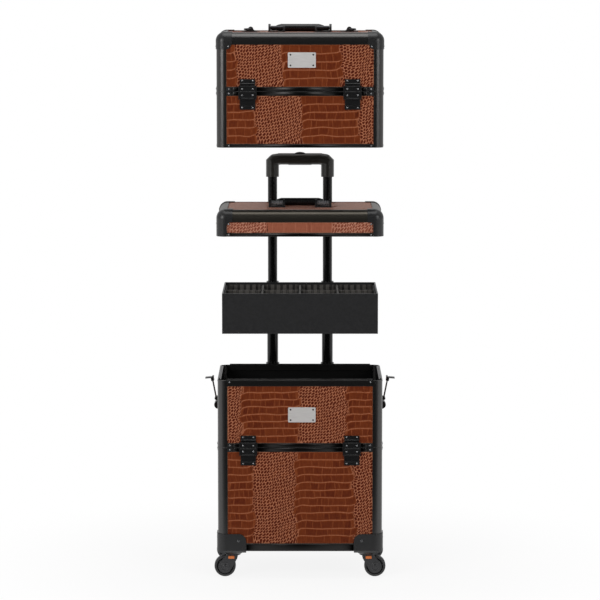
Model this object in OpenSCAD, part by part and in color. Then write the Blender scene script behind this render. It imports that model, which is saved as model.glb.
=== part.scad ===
// Rolling makeup case, shown taken apart: a wheeled lower box with an open ring on it, a lift-out
// tray, a loose lid and a hinged top case, with a telescopic handle behind.
// Millimetres. X is the width, Y runs from the front to the back, Z is up and the floor is Z = 0.

/* [Case sections] */
// Outside width of every section
case_w = 360; // [330:1:400]
// Outside depth of every section
case_d = 245; // [225:1:290]
// Height of the lower box
base_h = 230; // [190:1:280]
// Height of the open ring
ring_h = 148; // [130:1:180]
// Height of the loose lid
lid_h = 57; // [50:1:75]
// Height of the top case below its seam
top_case_h = 121; // [95:1:150]
// Height of the top case above its seam
top_lid_h = 126; // [95:1:150]
// Height of the lower box above the floor
base_lift = 62; // [60:1:80]

/* [Shown apart] */
// How far the tray hangs above its seat
tray_raise = 193; // [120:1:220]
// How much further the lid hangs above the ring
lid_raise = 121; // [80:1:160]
// How far the top case hangs above the lid's handle
top_raise = 119; // [60:1:180]
// Gap left at every seam between sections
seam_gap = 0.3; // [0.2:0.1:0.6]

/* [Walls and extrusions] */
// Outer radius of the rounded extrusions
edge_r = 18; // [14:1:20]
// Leg of a corner post from the corner to its free edge
post_leg = 21.5; // [21:0.5:26]
// Leg of a rounded top rail down the wall
top_rail_leg = 26; // [22:1:30]
// Sheet thickness of the extrusions
frame_t = 1.6; // [1.2:0.1:2.2]
// Thickness of the covered board panels
panel_t = 4; // [3:0.5:6]
// Gap round a panel in its extrusion
panel_gap = 0.1; // [0.05:0.05:0.3]
// Solid web of a rail beyond the edge of its panel
rail_web = 4; // [3.5:0.5:6]
// Height of the rails at a seam
seam_rail_h = 9.5; // [8:0.5:12]
// Height of the ring's top rail
rim_rail_h = 13; // [10:0.5:16]
// Height of the lower box's bottom rail
foot_rail_h = 17; // [12:0.5:20]
// Height of the lid's and the top case's bottom rail
skirt_rail_h = 8; // [7:0.5:10]
// Height of the locating tongue on a lift-off seam
tongue_h = 2.5; // [2:0.1:3]
// Thickness of the locating tongue
tongue_t = 2; // [1.6:0.1:2.4]
// Side clearance of the tongue in its groove
tongue_clear = 0.35; // [0.2:0.05:0.5]

/* [Corner caps] */
// Reach of a corner cap along the top edges
cap_leg = 34; // [30:1:40]
// Reach of the top case's cap down its post
cap_drop = 36; // [32:1:42]
// Wall of a corner cap
cap_t = 1.4; // [1:0.1:2]
// Gap between a cap and the extrusions under it
cap_gap = 0.05; // [0.03:0.01:0.1]
// Size of the riveted ear that fills the inner corner of a cap
cap_ear = 10; // [7:0.5:12]

/* [Latches] */
// Distance of a front latch from the side of the case
latch_inset = 67; // [58:1:76]
// Width of the latch plates
latch_plate_w = 33; // [28:1:38]
// Width of a latch lever
latch_lever_w = 39; // [36:1:46]
// Height of a latch lever above its hinge line, beyond the seam
latch_rise = 14.2; // [13:0.2:14.6]
// Height of a keeper above its seam
keeper_h = 26; // [22:1:30]
// Length of a latch base plate below its seam
latch_plate_h = 39; // [34:1:44]
// Depth of the lever's hinge line below the seam
latch_pivot_drop = 15.5; // [13:0.5:18]
// Distance of the lever's hinge line in front of the frame
latch_pivot_out = 4.3; // [4.2:0.1:4.8]
// Thickness of the latch plates
latch_plate_t = 1.5; // [1.2:0.1:2]
// Distance of the lever's front face in front of the frame
latch_reach = 8; // [7.5:0.1:9]
// Radius of the lever's hinge pin
latch_pin_r = 1.5; // [1.2:0.1:1.8]
// Running clearance of hinge pins in their barrels
pin_clear = 0.08; // [0.05:0.01:0.1]

/* [Side latches] */
// Height of the arm's hinge line below the top of the ring
side_pivot_drop = 57; // [50:1:62]
// Distance of the arm's hinge line outside the frame
side_pivot_out = 6; // [5.5:0.5:8]
// Length of the arm
side_arm_l = 45; // [38:1:47]
// Lean of the open arm away from the wall, in degrees
side_arm_lean = 11; // [8:1:14]
// Length of the thumb tab
side_tab_l = 13; // [10:1:16]
// Width of the arm
side_arm_w = 14; // [12:1:18]
// Width of the base plate
side_plate_w = 30; // [28:1:34]
// Height of the base plate
side_plate_h = 34; // [32:1:38]
// Radius of the rounded cover
side_cover_r = 9; // [7:0.5:10]

/* [Tray] */
// Gap between the tray and the rails it passes
tray_clear = 3; // [2:0.5:5]
// Height of the tray
tray_h = 88; // [75:1:95]
// Depth of the seated tray's edge below the top of the ring
tray_recess = 4; // [3:0.5:8]
// Wall and floor of the tray
tray_t = 3; // [2.5:0.5:4]
// Ribs along one long compartment
ribs_long = 6; // [5:1:7]
// Ribs along one short compartment
ribs_short = 8; // [6:1:9]
// Width of a rib
rib_w = 8.5; // [7:0.5:9.5]
// Height of a rib above its liner
rib_h = 2.2; // [1.5:0.1:3]
// Thickness of a liner or of a divider's core
liner_t = 1.2; // [1:0.1:2]
// Thickness of a divider's core
divider_t = 3; // [2.4:0.2:4]
// Height of the liners and dividers
divider_h = 80; // [70:1:85]
// End clearance of the dividers
divider_clear = 0.3; // [0.2:0.1:0.6]
// Width of the ledges that carry the tray
ledge_w = 11; // [9:0.5:14]

/* [Rear hinges] */
// Distance of a hinge from the side of the case
hinge_inset = 58; // [52:1:68]
// Length of a hinge
hinge_l = 44; // [36:1:54]
// Radius of the knuckles
hinge_r = 3; // [2.8:0.1:3.1]
// Radius of the hinge pin
hinge_pin_r = 1.5; // [1.2:0.1:1.7]
// Distance of the hinge line behind the case
hinge_out = 3.2; // [3.2:0.1:3.5]
// Height of a leaf
hinge_leaf_h = 22; // [18:1:26]
// Gap between knuckles
hinge_gap = 0.4; // [0.3:0.1:0.6]

/* [Carry handles] */
// Length over both brackets
handle_span = 138; // [124:1:150]
// Length of a bracket
bracket_l = 36; // [32:1:40]
// Width of a bracket
bracket_w = 22; // [18:1:26]
// Height of a bracket
bracket_h = 18; // [17:0.5:22]
// Reach of the folded grip behind its hinge line
handle_reach = 38; // [34:1:44]
// Height of the hinge line above the panel
handle_pivot_h = 9; // [8:0.5:10]
// Half thickness of the grip
handle_grip_r = 8.4; // [7.5:0.1:9]
// Radius of the handle's hinge pins
handle_pin_r = 2.5; // [2:0.1:3]
// Outer ear of a bracket
bracket_ear_out = 5; // [4:0.5:6]
// Inner ear of a bracket
bracket_ear_in = 4; // [3:0.5:5]
// Width of an arm
arm_w = 8.8; // [8:0.2:9.4]
// Thickness of an arm
arm_t = 5.2; // [4.6:0.2:6]
// Radius of an arm's hub
arm_hub_r = 5; // [4.4:0.1:5.4]
// Radius of an arm's disc beside the grip
arm_end_r = 6.4; // [5.6:0.1:7]
// Thickness of that disc
arm_end_l = 8; // [7:0.5:9]
// Half distance between the arms at the grip
handle_arm_x = 44; // [40:0.5:44]
// Distance of the hinge line in front of the middle of the panel
handle_front = 18; // [10:1:26]

/* [Strap rings] */
// Distance of a strap ring from the side of the case
strap_inset = 72; // [66:1:80]
// Radius of the ring's bow
strap_r = 13; // [11:0.5:15]
// Radius of the ring's wire
strap_wire_r = 2; // [1.6:0.1:2.2]
// Height of the ring's hinge line above the panel
strap_pivot_h = 6.2; // [6:0.1:7]
// Radius of the saddle round the wire
strap_saddle_r = 5.6; // [5:0.1:6]
// Length of the saddle's plate
strap_plate_l = 38; // [34:1:42]
// Width of the saddle's plate
strap_plate_w = 22; // [20:1:26]
// Width of the saddle itself
strap_saddle_w = 15; // [12:1:17]
// Length of the saddle at its foot
strap_foot_l = 27; // [22:1:27]

/* [Telescopic handle] */
// Half distance between the tubes
tube_x = 62; // [55:1:70]
// Distance of the tubes behind the case
tube_out = 23; // [22:0.5:28]
// Diameter of the outer tubes
outer_d = 28; // [27:0.5:30]
// Diameter of the middle tubes
middle_d = 24.6; // [24:0.1:25]
// Diameter of the inner tubes
inner_d = 21; // [20:0.1:21.5]
// Wall of the tubes
tube_wall = 1.35; // [1.2:0.05:1.5]
// Height of the middle tubes' upper end above the floor, drawn out
middle_top = 622; // [560:1:660]
// Length of the middle tubes
middle_l = 262; // [240:1:300]
// Overlap that stays between two stages when drawn out
stage_overlap = 72; // [60:1:90]
// Height of the grip's top above the floor, drawn out
grip_top = 918; // [860:1:960]
// Half thickness of the grip's bar
grip_r = 13; // [12:0.5:14]
// Length of the raised hold under the grip
grip_hold_l = 52; // [44:1:60]
// Length of the grip's bend
grip_bend = 18; // [16:1:22]
// Radius of the grip's sockets
socket_r = 14.5; // [14:0.5:16]
// Height of the grip's sockets
socket_h = 44; // [38:1:50]
// Wall of the tube brackets behind the tubes
tube_bracket_wall = 3; // [2:0.5:5]
// Height of a tube bracket
tube_bracket_h = 26; // [20:1:32]
// Width of a bracket beside each tube
tube_bracket_side = 7; // [5:1:12]
// Size of the release button
button_w = 24; // [18:1:30]
// Depth of the release button from front to back
button_d = 11; // [9:0.5:13]
// Height of the button above the bar
button_out = 2.6; // [2:0.1:3.5]
// Radius of the button's curved top
button_curve = 26; // [20:1:40]
// Depth of the button's pocket
button_pocket = 10; // [8:0.5:12]
// Clearance round the release button
button_clear = 0.3; // [0.2:0.05:0.5]

/* [Casters] */
// Diameter of a wheel
wheel_d = 47; // [44:1:50]
// Width of a wheel
wheel_w = 19; // [16:1:22]
// Distance of a swivel axis inside the case's faces
caster_inset = 33; // [30:1:38]
// Offset of the wheel from its swivel axis
caster_trail = 18; // [14:1:22]
// Side clearance of a wheel in its fork
fork_clear = 1; // [0.6:0.1:1.5]
// Thickness of a fork cheek
cheek_t = 3; // [2.5:0.1:4]
// Radius of a fork cheek round the axle
cheek_r = 15; // [12:0.5:17]
// Radius of the axle
axle_r = 3; // [2.5:0.1:4]
// Radius of the swivel stem
stem_r = 5; // [4:0.1:6]
// Height of a fork's crown above the floor
crown_z = 51; // [50:0.5:56]
// Width of a caster housing along the wall
housing_w = 64; // [56:1:70]
// Height of a caster housing up the wall
housing_h = 38; // [34:1:44]
// Wall of a caster housing outside the frame
housing_t = 2.2; // [1.8:0.1:3]
// Depth of a caster housing's floor below the box
housing_floor = 4; // [3.5:0.1:4.5]
// Bevel along the foot of a caster housing
housing_bevel = 5; // [3:0.5:5.5]
// Radius of the rounded ear of a caster housing
housing_ear_r = 16; // [10:1:18]
// Radius of a fork's crown
crown_r = 16; // [14:0.5:18]
// Width of a fork's tab
tab_w = 13; // [10:0.5:15]
// Distance of a fork's tab from the swivel axis
tab_x = 4; // [0:0.5:5]
// Height of a fork's tab
tab_h = 6.4; // [5:0.2:8]

/* [Plates] */
// Width of the bare plates
plate_w = 60; // [50:1:70]
// Distance of the bare plates right of the middle
plate_x = 4; // [0:0.5:8]
// Height of the bare plates
plate_h = 33; // [26:1:38]
// Thickness of the bare plates
plate_t = 1.2; // [0.8:0.1:1.6]
// Distance of a plate's middle below the top of its section
plate_drop = 59; // [56:1:66]
// Distance of the ring plate's middle below the top of the ring
ring_plate_drop = 76; // [70:1:84]

/* [Hidden] */
$fn = 64;
rail_depth = 2 * frame_t + panel_t + 2 * panel_gap;
panel_out = frame_t + panel_gap;
panel_in = panel_out + panel_t;
trolley_reach = tube_out + outer_d / 2 + tube_bracket_wall;
y_mid = (latch_reach - trolley_reach) / 2;
tube_y = y_mid + case_d / 2 + tube_out;

base_z = base_lift;
ring_z = base_z + base_h + seam_gap;
ring_top_z = ring_z + ring_h;
tray_z = ring_top_z - tray_recess - tray_h + tray_raise;
lid_z = ring_top_z + seam_gap + tray_raise + lid_raise;
top_z = lid_z + lid_h - panel_out + bracket_h + seam_gap + top_raise;
top_lid_z = top_z + top_case_h + seam_gap;

tray_w = case_w - 2 * (rail_depth + tray_clear);
tray_d = case_d - 2 * (rail_depth + tray_clear);
cell_w = (tray_w - 2 * tray_t - 2 * liner_t) / 4;
cell_d = (tray_d - 2 * tray_t - 2 * liner_t) / 2;
rib_pitch_x = cell_w / ribs_long;
rib_pitch_y = cell_d / ribs_short;

latch_x = case_w / 2 - latch_inset;
hinge_x = case_w / 2 - hinge_inset;
strap_x = case_w / 2 - strap_inset;

outer_low = base_z + foot_rail_h + 5;
outer_top = ring_top_z - tray_recess;
middle_z = middle_top - middle_l;
socket_z = grip_top - grip_r + 4 - socket_h;
inner_z = middle_top - stage_overlap;
caster_x = case_w / 2 - caster_inset;
caster_y = case_d / 2 - caster_inset;
wheel_z = wheel_d / 2;
cheek_y = wheel_w / 2 + fork_clear;

black = [0.13, 0.13, 0.13];
satin = [0.24, 0.24, 0.25];
croc = [0.42, 0.21, 0.13];
silver = [0.75, 0.75, 0.76];

base_floor_panel();
base_wall_panels();
base_frame();
caster_housings();
trolley_outer_tubes();
trolley_brackets();
base_latch_plates();
base_latch_left();
base_latch_right();
ring_wall_panels();
ring_frame();
ring_latch_keepers();
tray_ledges();
ring_plate();
side_latch_bases();
side_latch_left();
side_latch_right();
tray_box();
tray_liners();
tray_long_divider();
tray_cross_dividers();
lid_top_panel();
lid_side_panels();
lid_frame();
lid_corner_caps();
lid_handle_brackets();
lid_handle_grip();
lid_handle_arms();
top_case_floor_panel();
top_case_wall_panels();
top_case_frame();
top_case_latch_plates();
top_case_hinge_leaves();
top_latch_left();
top_latch_right();
top_lid_panel();
top_lid_side_panels();
top_lid_frame();
top_lid_corner_caps();
top_lid_latch_keepers();
top_lid_hinge_leaves();
top_lid_plate();
top_handle_brackets();
top_handle_grip();
top_handle_arms();
strap_saddles();
strap_ring_left();
strap_ring_right();
trolley_middle_tubes();
trolley_inner_tubes();
trolley_grip();
trolley_button();
caster_fork_front_left();
caster_fork_front_right();
caster_fork_rear_left();
caster_fork_rear_right();
caster_wheel_front_left();
caster_wheel_front_right();
caster_wheel_rear_left();
caster_wheel_rear_right();

// Places a section, drawn about the middle of the case, at its height
module section(z) translate([0, y_mid, z]) children();

// Repeats a piece on the four walls: X runs along the wall and Y into the case
module on_walls() {
    for (turn = [0:3]) {
        $wall = turn % 2 == 0 ? case_w : case_d;
        $cross = turn % 2 == 0 ? case_d : case_w;
        rotate(turn * 90) translate([0, -$cross / 2, 0]) children();
    }
}

module on_left_right() {
    for (turn = [1, 3]) rotate(turn * 90) translate([0, -case_w / 2, 0]) children();
}

// Repeats a piece at the four corners: the case lies towards +X and +Y of the corner
module at_corners() {
    translate([-case_w / 2, -case_d / 2, 0]) children();
    translate([case_w / 2, -case_d / 2, 0]) mirror([1, 0, 0]) children();
    translate([-case_w / 2, case_d / 2, 0]) mirror([0, 1, 0]) children();
    translate([case_w / 2, case_d / 2, 0]) rotate(180) children();
}

module left_and_right(x) {
    translate([-x, 0, 0]) children();
    translate([x, 0, 0]) mirror([1, 0, 0]) children();
}

// Runs a profile along X: its own X becomes Y and its own Y becomes Z
module along_x(length) rotate([90, 0, 90]) linear_extrude(length, center = true) children();

module rod_x(r, length) rotate([0, 90, 0]) cylinder(r = r, h = length, center = true);

module rod_y(r, length) rotate([90, 0, 0]) cylinder(r = r, h = length, center = true);

module round_corner(size, r) {
    difference() {
        square(size);
        difference() {
            translate([-1, -1]) square(r + 1);
            translate([r, r]) circle(r);
        }
    }
}

module edge_profile(leg_x, leg_y, r, wall) {
    difference() {
        round_corner([leg_x, leg_y], r);
        translate([wall, wall]) round_corner([leg_x, leg_y], r - wall);
    }
}

module posts(low, high) {
    at_corners() translate([0, 0, low]) linear_extrude(high - low)
        edge_profile(post_leg, post_leg, edge_r, frame_t);
}

// Channel that holds the edge of a panel, with the tongue or the groove of a lift-off seam
module rail_profile(h, opens_up, seam) {
    tongue_x = (rail_depth - tongue_t) / 2;
    difference() {
        square([rail_depth, h]);
        translate([frame_t, opens_up ? rail_web : -1])
            square([panel_t + 2 * panel_gap, h - rail_web + 1]);
        if (seam == "groove")
            translate([tongue_x - tongue_clear, -1])
                square([tongue_t + 2 * tongue_clear, tongue_h + tongue_clear + 1]);
    }
    if (seam == "tongue") translate([tongue_x, h]) square([tongue_t, tongue_h]);
}

module rails(z, h, opens_up, seam) {
    on_walls() translate([0, 0, z]) along_x($wall - 2 * post_leg - 2 * panel_gap)
        rail_profile(h, opens_up, seam);
}

module top_rails(z) {
    on_walls() translate([0, 0, z]) along_x($wall - 2 * post_leg - 2 * panel_gap)
        mirror([0, 1]) edge_profile(post_leg, top_rail_leg, edge_r, frame_t);
}

module walls(low, high) {
    on_walls() translate([-$wall / 2 + edge_r, panel_out, low])
        cube([$wall - 2 * edge_r, panel_t, high - low]);
}

module inner_floor(z, t) {
    inset = rail_depth + panel_gap;
    translate([-case_w / 2 + inset, -case_d / 2 + inset, z])
        cube([case_w - 2 * inset, case_d - 2 * inset, t]);
}

module top_board(h) {
    translate([-case_w / 2 + edge_r, -case_d / 2 + edge_r, h - panel_in])
        cube([case_w - 2 * edge_r, case_d - 2 * edge_r, panel_t]);
}

// Ball corner pressed over the ends of three extrusions
module corner_cap(h, drop, ear) {
    proud = cap_gap + cap_t;
    r = edge_r + proud;
    difference() {
        union() {
            translate([edge_r, edge_r, h - edge_r]) rotate(180) rotate_extrude(angle = 90)
                difference() {
                    intersection() {
                        union() {
                            circle(r);
                            translate([0, edge_r - drop]) square([r, drop - edge_r]);
                        }
                        translate([0, edge_r - drop]) square([r, r + drop]);
                    }
                    circle(r - cap_t);
                    translate([-1, edge_r - drop - 1]) square([r - cap_t + 1, drop - edge_r + 1]);
                }
            cap_wing(h, drop, r, proud);
            mirror([1, -1, 0]) cap_wing(h, drop, r, proud);
        }
        cap_notch(h, drop, ear);
        mirror([1, -1, 0]) cap_notch(h, drop, ear);
    }
}

module cap_wing(h, drop, r, proud) {
    translate([edge_r, 0, h]) rotate([90, 0, 90]) linear_extrude(cap_leg - edge_r)
        mirror([0, 1]) translate([-proud, -proud])
            edge_profile(cap_leg + proud, drop + proud, r, cap_t);
}

module cap_notch(h, drop, ear) {
    translate([post_leg, edge_r / 2, h - drop - 1]) rotate([90, 0, 0])
        linear_extrude(edge_r) difference() {
            square([cap_leg, drop + 1 - top_rail_leg]);
            translate([0, drop + 1 - top_rail_leg]) circle(ear);
        }
}

// Upper half of a front latch: a plate with a bead, standing on the seam of its section
module keeper() {
    translate([-latch_plate_w / 2, -latch_plate_t, 0.6])
        cube([latch_plate_w, latch_plate_t, keeper_h - 0.6]);
    translate([-latch_plate_w / 2, -0.01, seam_rail_h + 0.1])
        cube([latch_plate_w, panel_out + 0.01, keeper_h - seam_rail_h - 0.1]);
    translate([0, -latch_plate_t, latch_pivot_drop]) rod_x(2.4, latch_plate_w - 2);
}

// Lower half of a front latch: a plate with two ears and the lever's pin, hung from the seam
module latch_plate() {
    translate([-latch_plate_w / 2, -latch_plate_t, -latch_plate_h])
        cube([latch_plate_w, latch_plate_t, latch_plate_h - 0.6]);
    translate([-latch_plate_w / 2, -0.01, -latch_plate_h])
        cube([latch_plate_w, panel_out + 0.01, latch_plate_h - seam_rail_h - 0.1]);
    translate([0, -latch_pivot_out, -latch_pivot_drop]) rod_x(latch_pin_r, latch_plate_w - 1);
    for (side = [-1, 1]) translate([side * (latch_plate_w / 2 - 1.2), 0, 0]) {
        translate([-1, -latch_pivot_out, -latch_pivot_drop - 2])
            cube([2, latch_pivot_out, 4]);
        translate([0, -latch_pivot_out, -latch_pivot_drop]) rod_x(2, 2);
    }
    translate([0, -latch_plate_t, -latch_plate_h + 8.5]) rod_x(1.4, latch_plate_w - 4);
}

// Lever hung on the lower plate's pin and lying over the keeper's bead
module latch_lever() {
    inner_face = 4.6;
    barrel_l = latch_plate_w - 2 * 2.8;
    translate([0, 0, -latch_pivot_drop]) {
        difference() {
            union() {
                translate([0, -latch_pivot_out, 0]) rod_x(2.5, barrel_l);
                translate([-latch_lever_w / 2, -6.6, -1.8])
                    cube([latch_lever_w, 6.6 - inner_face, latch_pivot_drop + latch_rise]);
                for (side = [-1, 1]) translate([side * (latch_lever_w / 2 - 0.7) - 0.7, -6.6, 2])
                    cube([1.4, 6, latch_pivot_drop + 8]);
                translate([0, -6.5, 0.4]) rod_x(1.5, latch_plate_w - 7);
                translate([0, -6.5, latch_pivot_drop - 1]) rod_x(1.5, latch_lever_w - 5);
                translate([0, -6.6, latch_pivot_drop + 11]) rod_x(1.4, latch_lever_w - 9);
            }
            translate([0, -latch_pivot_out, 0]) rod_x(latch_pin_r + pin_clear, latch_lever_w);
            for (side = [-1, 1])
                translate([side * (latch_plate_w / 2 - 1.2), -latch_pivot_out, 0]) rod_x(3, 3);
        }
    }
}

module front_latch_place(x) translate([x, -case_d / 2, 0]) children();

// Side latch: a riveted base with a rounded cover, and an arm with a thumb tab
module side_latch_base() {
    drop = side_pivot_drop + side_cover_r + 5;
    foot = ring_h - drop - side_plate_w / 2;
    translate([-side_plate_w / 2, -latch_plate_t, foot])
        cube([side_plate_w, latch_plate_t + panel_out, side_plate_h]);
    intersection() {
        translate([0, -latch_plate_t, ring_h - drop]) rod_x(side_cover_r, side_plate_w - 6);
        translate([-side_plate_w / 2, -2 * side_cover_r, foot])
            cube([side_plate_w, 2 * side_cover_r, side_plate_w]);
    }
    for (side = [-1, 1]) translate([side * (side_arm_w / 2 + 1.9), 0, ring_h - side_pivot_drop]) {
        translate([-1.5, -side_pivot_out, -3.6]) cube([3, side_pivot_out, 7.2]);
        translate([0, -side_pivot_out, 0]) rod_x(3.6, 3);
    }
    translate([0, -side_pivot_out, ring_h - side_pivot_drop]) rod_x(1.8, side_arm_w + 6);
}

module side_latch_arm() {
    translate([0, -side_pivot_out, ring_h - side_pivot_drop]) rotate([side_arm_lean, 0, 0]) {
        difference() {
            union() {
                rod_x(3.4, side_arm_w);
                translate([-side_arm_w / 2, -1.3, 0]) cube([side_arm_w, 2.6, side_arm_l]);
                translate([-side_arm_w / 2 - 3, -3.2, side_arm_l - 5])
                    cube([side_arm_w + 6, 6.4, 8]);
                translate([0, 2, side_arm_l + 3]) rod_x(2.2, side_arm_w + 6);
                translate([-side_arm_w / 2 - 2, 0, side_arm_l + 1.5]) rotate([-6, 0, 0])
                    translate([0, -side_tab_l - 2, 0]) cube([side_arm_w + 4, side_tab_l, 2]);
            }
            rod_x(1.8 + pin_clear, side_arm_w + 8);
        }
    }
}

// Ribbed strips of the tray, drawn in plan
module ribs(count, pitch, height) {
    for (k = [0:count - 1])
        translate([(k - (count - 1) / 2) * pitch - rib_w / 2, 0]) square([rib_w, height]);
}

module liner(length, count, pitch) {
    linear_extrude(divider_h) {
        translate([-length / 2, 0]) square([length, liner_t]);
        translate([0, liner_t - 0.01]) ribs(count, pitch, rib_h);
    }
}

// Carry handle: bracket with two ears, slanted arm and turned grip, drawn on its panel
module handle_bracket() {
    ears = [[0, bracket_ear_out], [bracket_l - bracket_ear_in, bracket_ear_in]];
    translate([0, -bracket_w / 2, 0]) cube([bracket_l, bracket_w, 3]);
    for (ear = ears) translate([ear[0], 0, 0]) {
        translate([0, -bracket_w / 2, 0]) cube([ear[1], bracket_w, bracket_h - bracket_w / 2 + 2]);
        intersection() {
            translate([ear[1] / 2, 0, bracket_h - bracket_w / 2]) rod_x(bracket_w / 2, ear[1]);
            translate([0, -bracket_w / 2, 0]) cube([ear[1], bracket_w, bracket_h]);
        }
    }
    translate([bracket_l / 2, 0, handle_pivot_h]) rod_x(handle_pin_r, bracket_l - 1);
}

module handle_arm() {
    gap = 0.4;
    hub_l = bracket_l - bracket_ear_out - bracket_ear_in - 2 * gap;
    hub_x = handle_span / 2 - bracket_ear_out - gap - hub_l / 2;
    arm_x = hub_x - hub_l / 2 + arm_w - 1.8;
    slant = atan((arm_x - handle_arm_x) / handle_reach);
    length = handle_reach / cos(slant);
    difference() {
        union() {
            translate([hub_x, 0, 0]) rod_x(arm_hub_r, hub_l);
            translate([arm_x, 0, 0]) rotate(slant) translate([0.2 - arm_end_l / 2, 0, -arm_t / 2])
                cube([arm_w, length, arm_t]);
            translate([handle_arm_x, handle_reach, 0]) rod_x(arm_end_r, arm_end_l);
        }
        translate([hub_x, 0, 0]) rod_x(handle_pin_r + pin_clear, handle_span);
    }
}

module handle_grip() {
    half = handle_arm_x - arm_end_l / 2 - 0.1;
    translate([0, handle_reach, 0]) rotate([0, 90, 0]) rotate_extrude() difference() {
        translate([0, -half]) square([handle_grip_r, 2 * half]);
        for (end = [-1, 1]) translate([handle_grip_r, end * half]) rotate(45) square(5, center = true);
    }
}

module handle_place(z) translate([0, -handle_front, z]) children();

// Strap ring, hinged on a saddle: the bow lies away from the middle
module strap_saddle() {
    difference() {
        union() {
            translate([-strap_plate_l / 2, -strap_plate_w / 2, 0])
                cube([strap_plate_l, strap_plate_w, 2]);
            translate([0, 0, strap_pivot_h]) rod_y(strap_saddle_r, strap_saddle_w);
            rotate([90, 0, 0]) linear_extrude(strap_saddle_w, center = true)
                polygon([[-strap_foot_l / 2, 0], [strap_foot_l / 2, 0], [strap_saddle_r, strap_pivot_h],
                    [-strap_saddle_r, strap_pivot_h]]);
        }
        translate([0, 0, strap_pivot_h]) rod_y(strap_wire_r + pin_clear, 2 * strap_plate_w);
    }
}

module strap_ring() {
    translate([0, 0, strap_pivot_h]) {
        rod_y(strap_wire_r, 2 * strap_r);
        rotate(90) rotate_extrude(angle = 180) translate([strap_r, 0]) circle(strap_wire_r);
        for (end = [-1, 1]) translate([0, end * strap_r, 0]) sphere(strap_wire_r);
    }
}

// Moulded corner that carries a caster, drawn from the lower corner of the box
module caster_housing() {
    proud = housing_t + cap_gap;
    neck_z = crown_z - base_z + 0.6;
    difference() {
        union() {
            translate([-proud, -proud, -housing_floor]) linear_extrude(housing_h + housing_floor)
                edge_profile(housing_w, housing_w, edge_r + proud, housing_t);
            translate([-proud, -proud, -housing_floor]) linear_extrude(housing_floor - 0.1)
                round_corner([housing_w, housing_w], edge_r + proud);
            translate([caster_inset, caster_inset, neck_z])
                cylinder(r1 = crown_r + 3, r2 = caster_inset - 3, h = -neck_z - housing_floor / 2);
        }
        housing_notch();
        mirror([1, -1, 0]) housing_notch();
        housing_foot();
        mirror([1, -1, 0]) housing_foot();
        translate([caster_inset, caster_inset, neck_z - 1])
            cylinder(r = stem_r + pin_clear, h = housing_h);
    }
}

// Rounds the upper outer corner of one wall of a caster housing
module housing_notch() {
    proud = housing_t + cap_gap;
    translate([housing_w - proud - housing_ear_r, 1, housing_h - housing_ear_r]) rotate([90, 0, 0])
        linear_extrude(proud + 2) difference() {
            square(housing_ear_r + 2);
            circle(housing_ear_r);
        }
}

// Bevels the foot of one wall of a caster housing
module housing_foot() {
    side = housing_bevel * sqrt(2);
    translate([-housing_t - cap_gap, housing_w / 2, -housing_floor]) rotate([0, 45, 0])
        cube([side, 2 * housing_w, side], center = true);
}

// Caster: fork with its axle and stem, and a wheel, drawn on the swivel axis with the trail along +X
module fork() {
    for (side = [-1, 1]) translate([0, side * (cheek_y + cheek_t / 2), 0]) rotate([90, 0, 0])
        linear_extrude(cheek_t, center = true) {
            translate([caster_trail, wheel_z]) circle(cheek_r);
            polygon([[-11, crown_z - 0.1], [-9, crown_z - 9], [caster_trail - 13.4, wheel_z - 7],
                [caster_trail, wheel_z], [caster_trail + 13.2, wheel_z + 7], [13.5, crown_z - 0.1]]);
        }
    intersection() {
        translate([0, 0, crown_z - 2.6]) cylinder(r = crown_r, h = 2.6);
        translate([-crown_r - 1, -cheek_y - cheek_t, 0])
            cube([2 * crown_r + 2, 2 * (cheek_y + cheek_t), crown_z + 1]);
    }
    translate([0, 0, crown_z - 1]) cylinder(r = stem_r, h = base_z - crown_z);
    translate([caster_trail, 0, wheel_z]) rod_y(axle_r, 2 * (cheek_y + cheek_t) - 0.02);
}

// Small tab that stands out of a fork cheek below the crown
module fork_tab() {
    translate([tab_x - tab_w / 2, -cheek_y - cheek_t - 1.6, crown_z - tab_h - 3.6])
        cube([tab_w, 1.55, tab_h]);
}

module wheel() {
    tyre = 6.5;
    r = wheel_d / 2;
    translate([caster_trail, 0, wheel_z]) rotate([90, 0, 0]) {
        color(black) rotate_extrude() difference() {
            translate([r - tyre, -wheel_w / 2]) square([tyre, wheel_w]);
            for (end = [-1, 1]) translate([r, end * wheel_w / 2]) rotate(45) square(4, center = true);
        }
        color(satin) rotate_extrude() difference() {
            translate([axle_r + pin_clear, -wheel_w / 2 + 0.5])
                square([r - tyre - 0.05 - axle_r - pin_clear, wheel_w - 1]);
            for (end = [-1, 1]) translate([r - tyre - 3.4, end * wheel_w / 2])
                square([4, 6], center = true);
        }
    }
}

module caster_place(sx, sy) {
    translate([sx * caster_x, y_mid + sy * caster_y, 0])
        if (sx > 0 && sy < 0) children();
        else if (sx < 0 && sy > 0) rotate(180) children();
        else if (sx < 0) mirror([1, 0, 0]) children();
        else mirror([0, 1, 0]) children();
}

// Pair of butt hinges on the back of the top case; the hinge line lies on the seam
module hinge_place() {
    for (side = [-1, 1]) translate([side * hinge_x, y_mid + case_d / 2, top_lid_z - seam_gap / 2])
        children();
}

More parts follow.
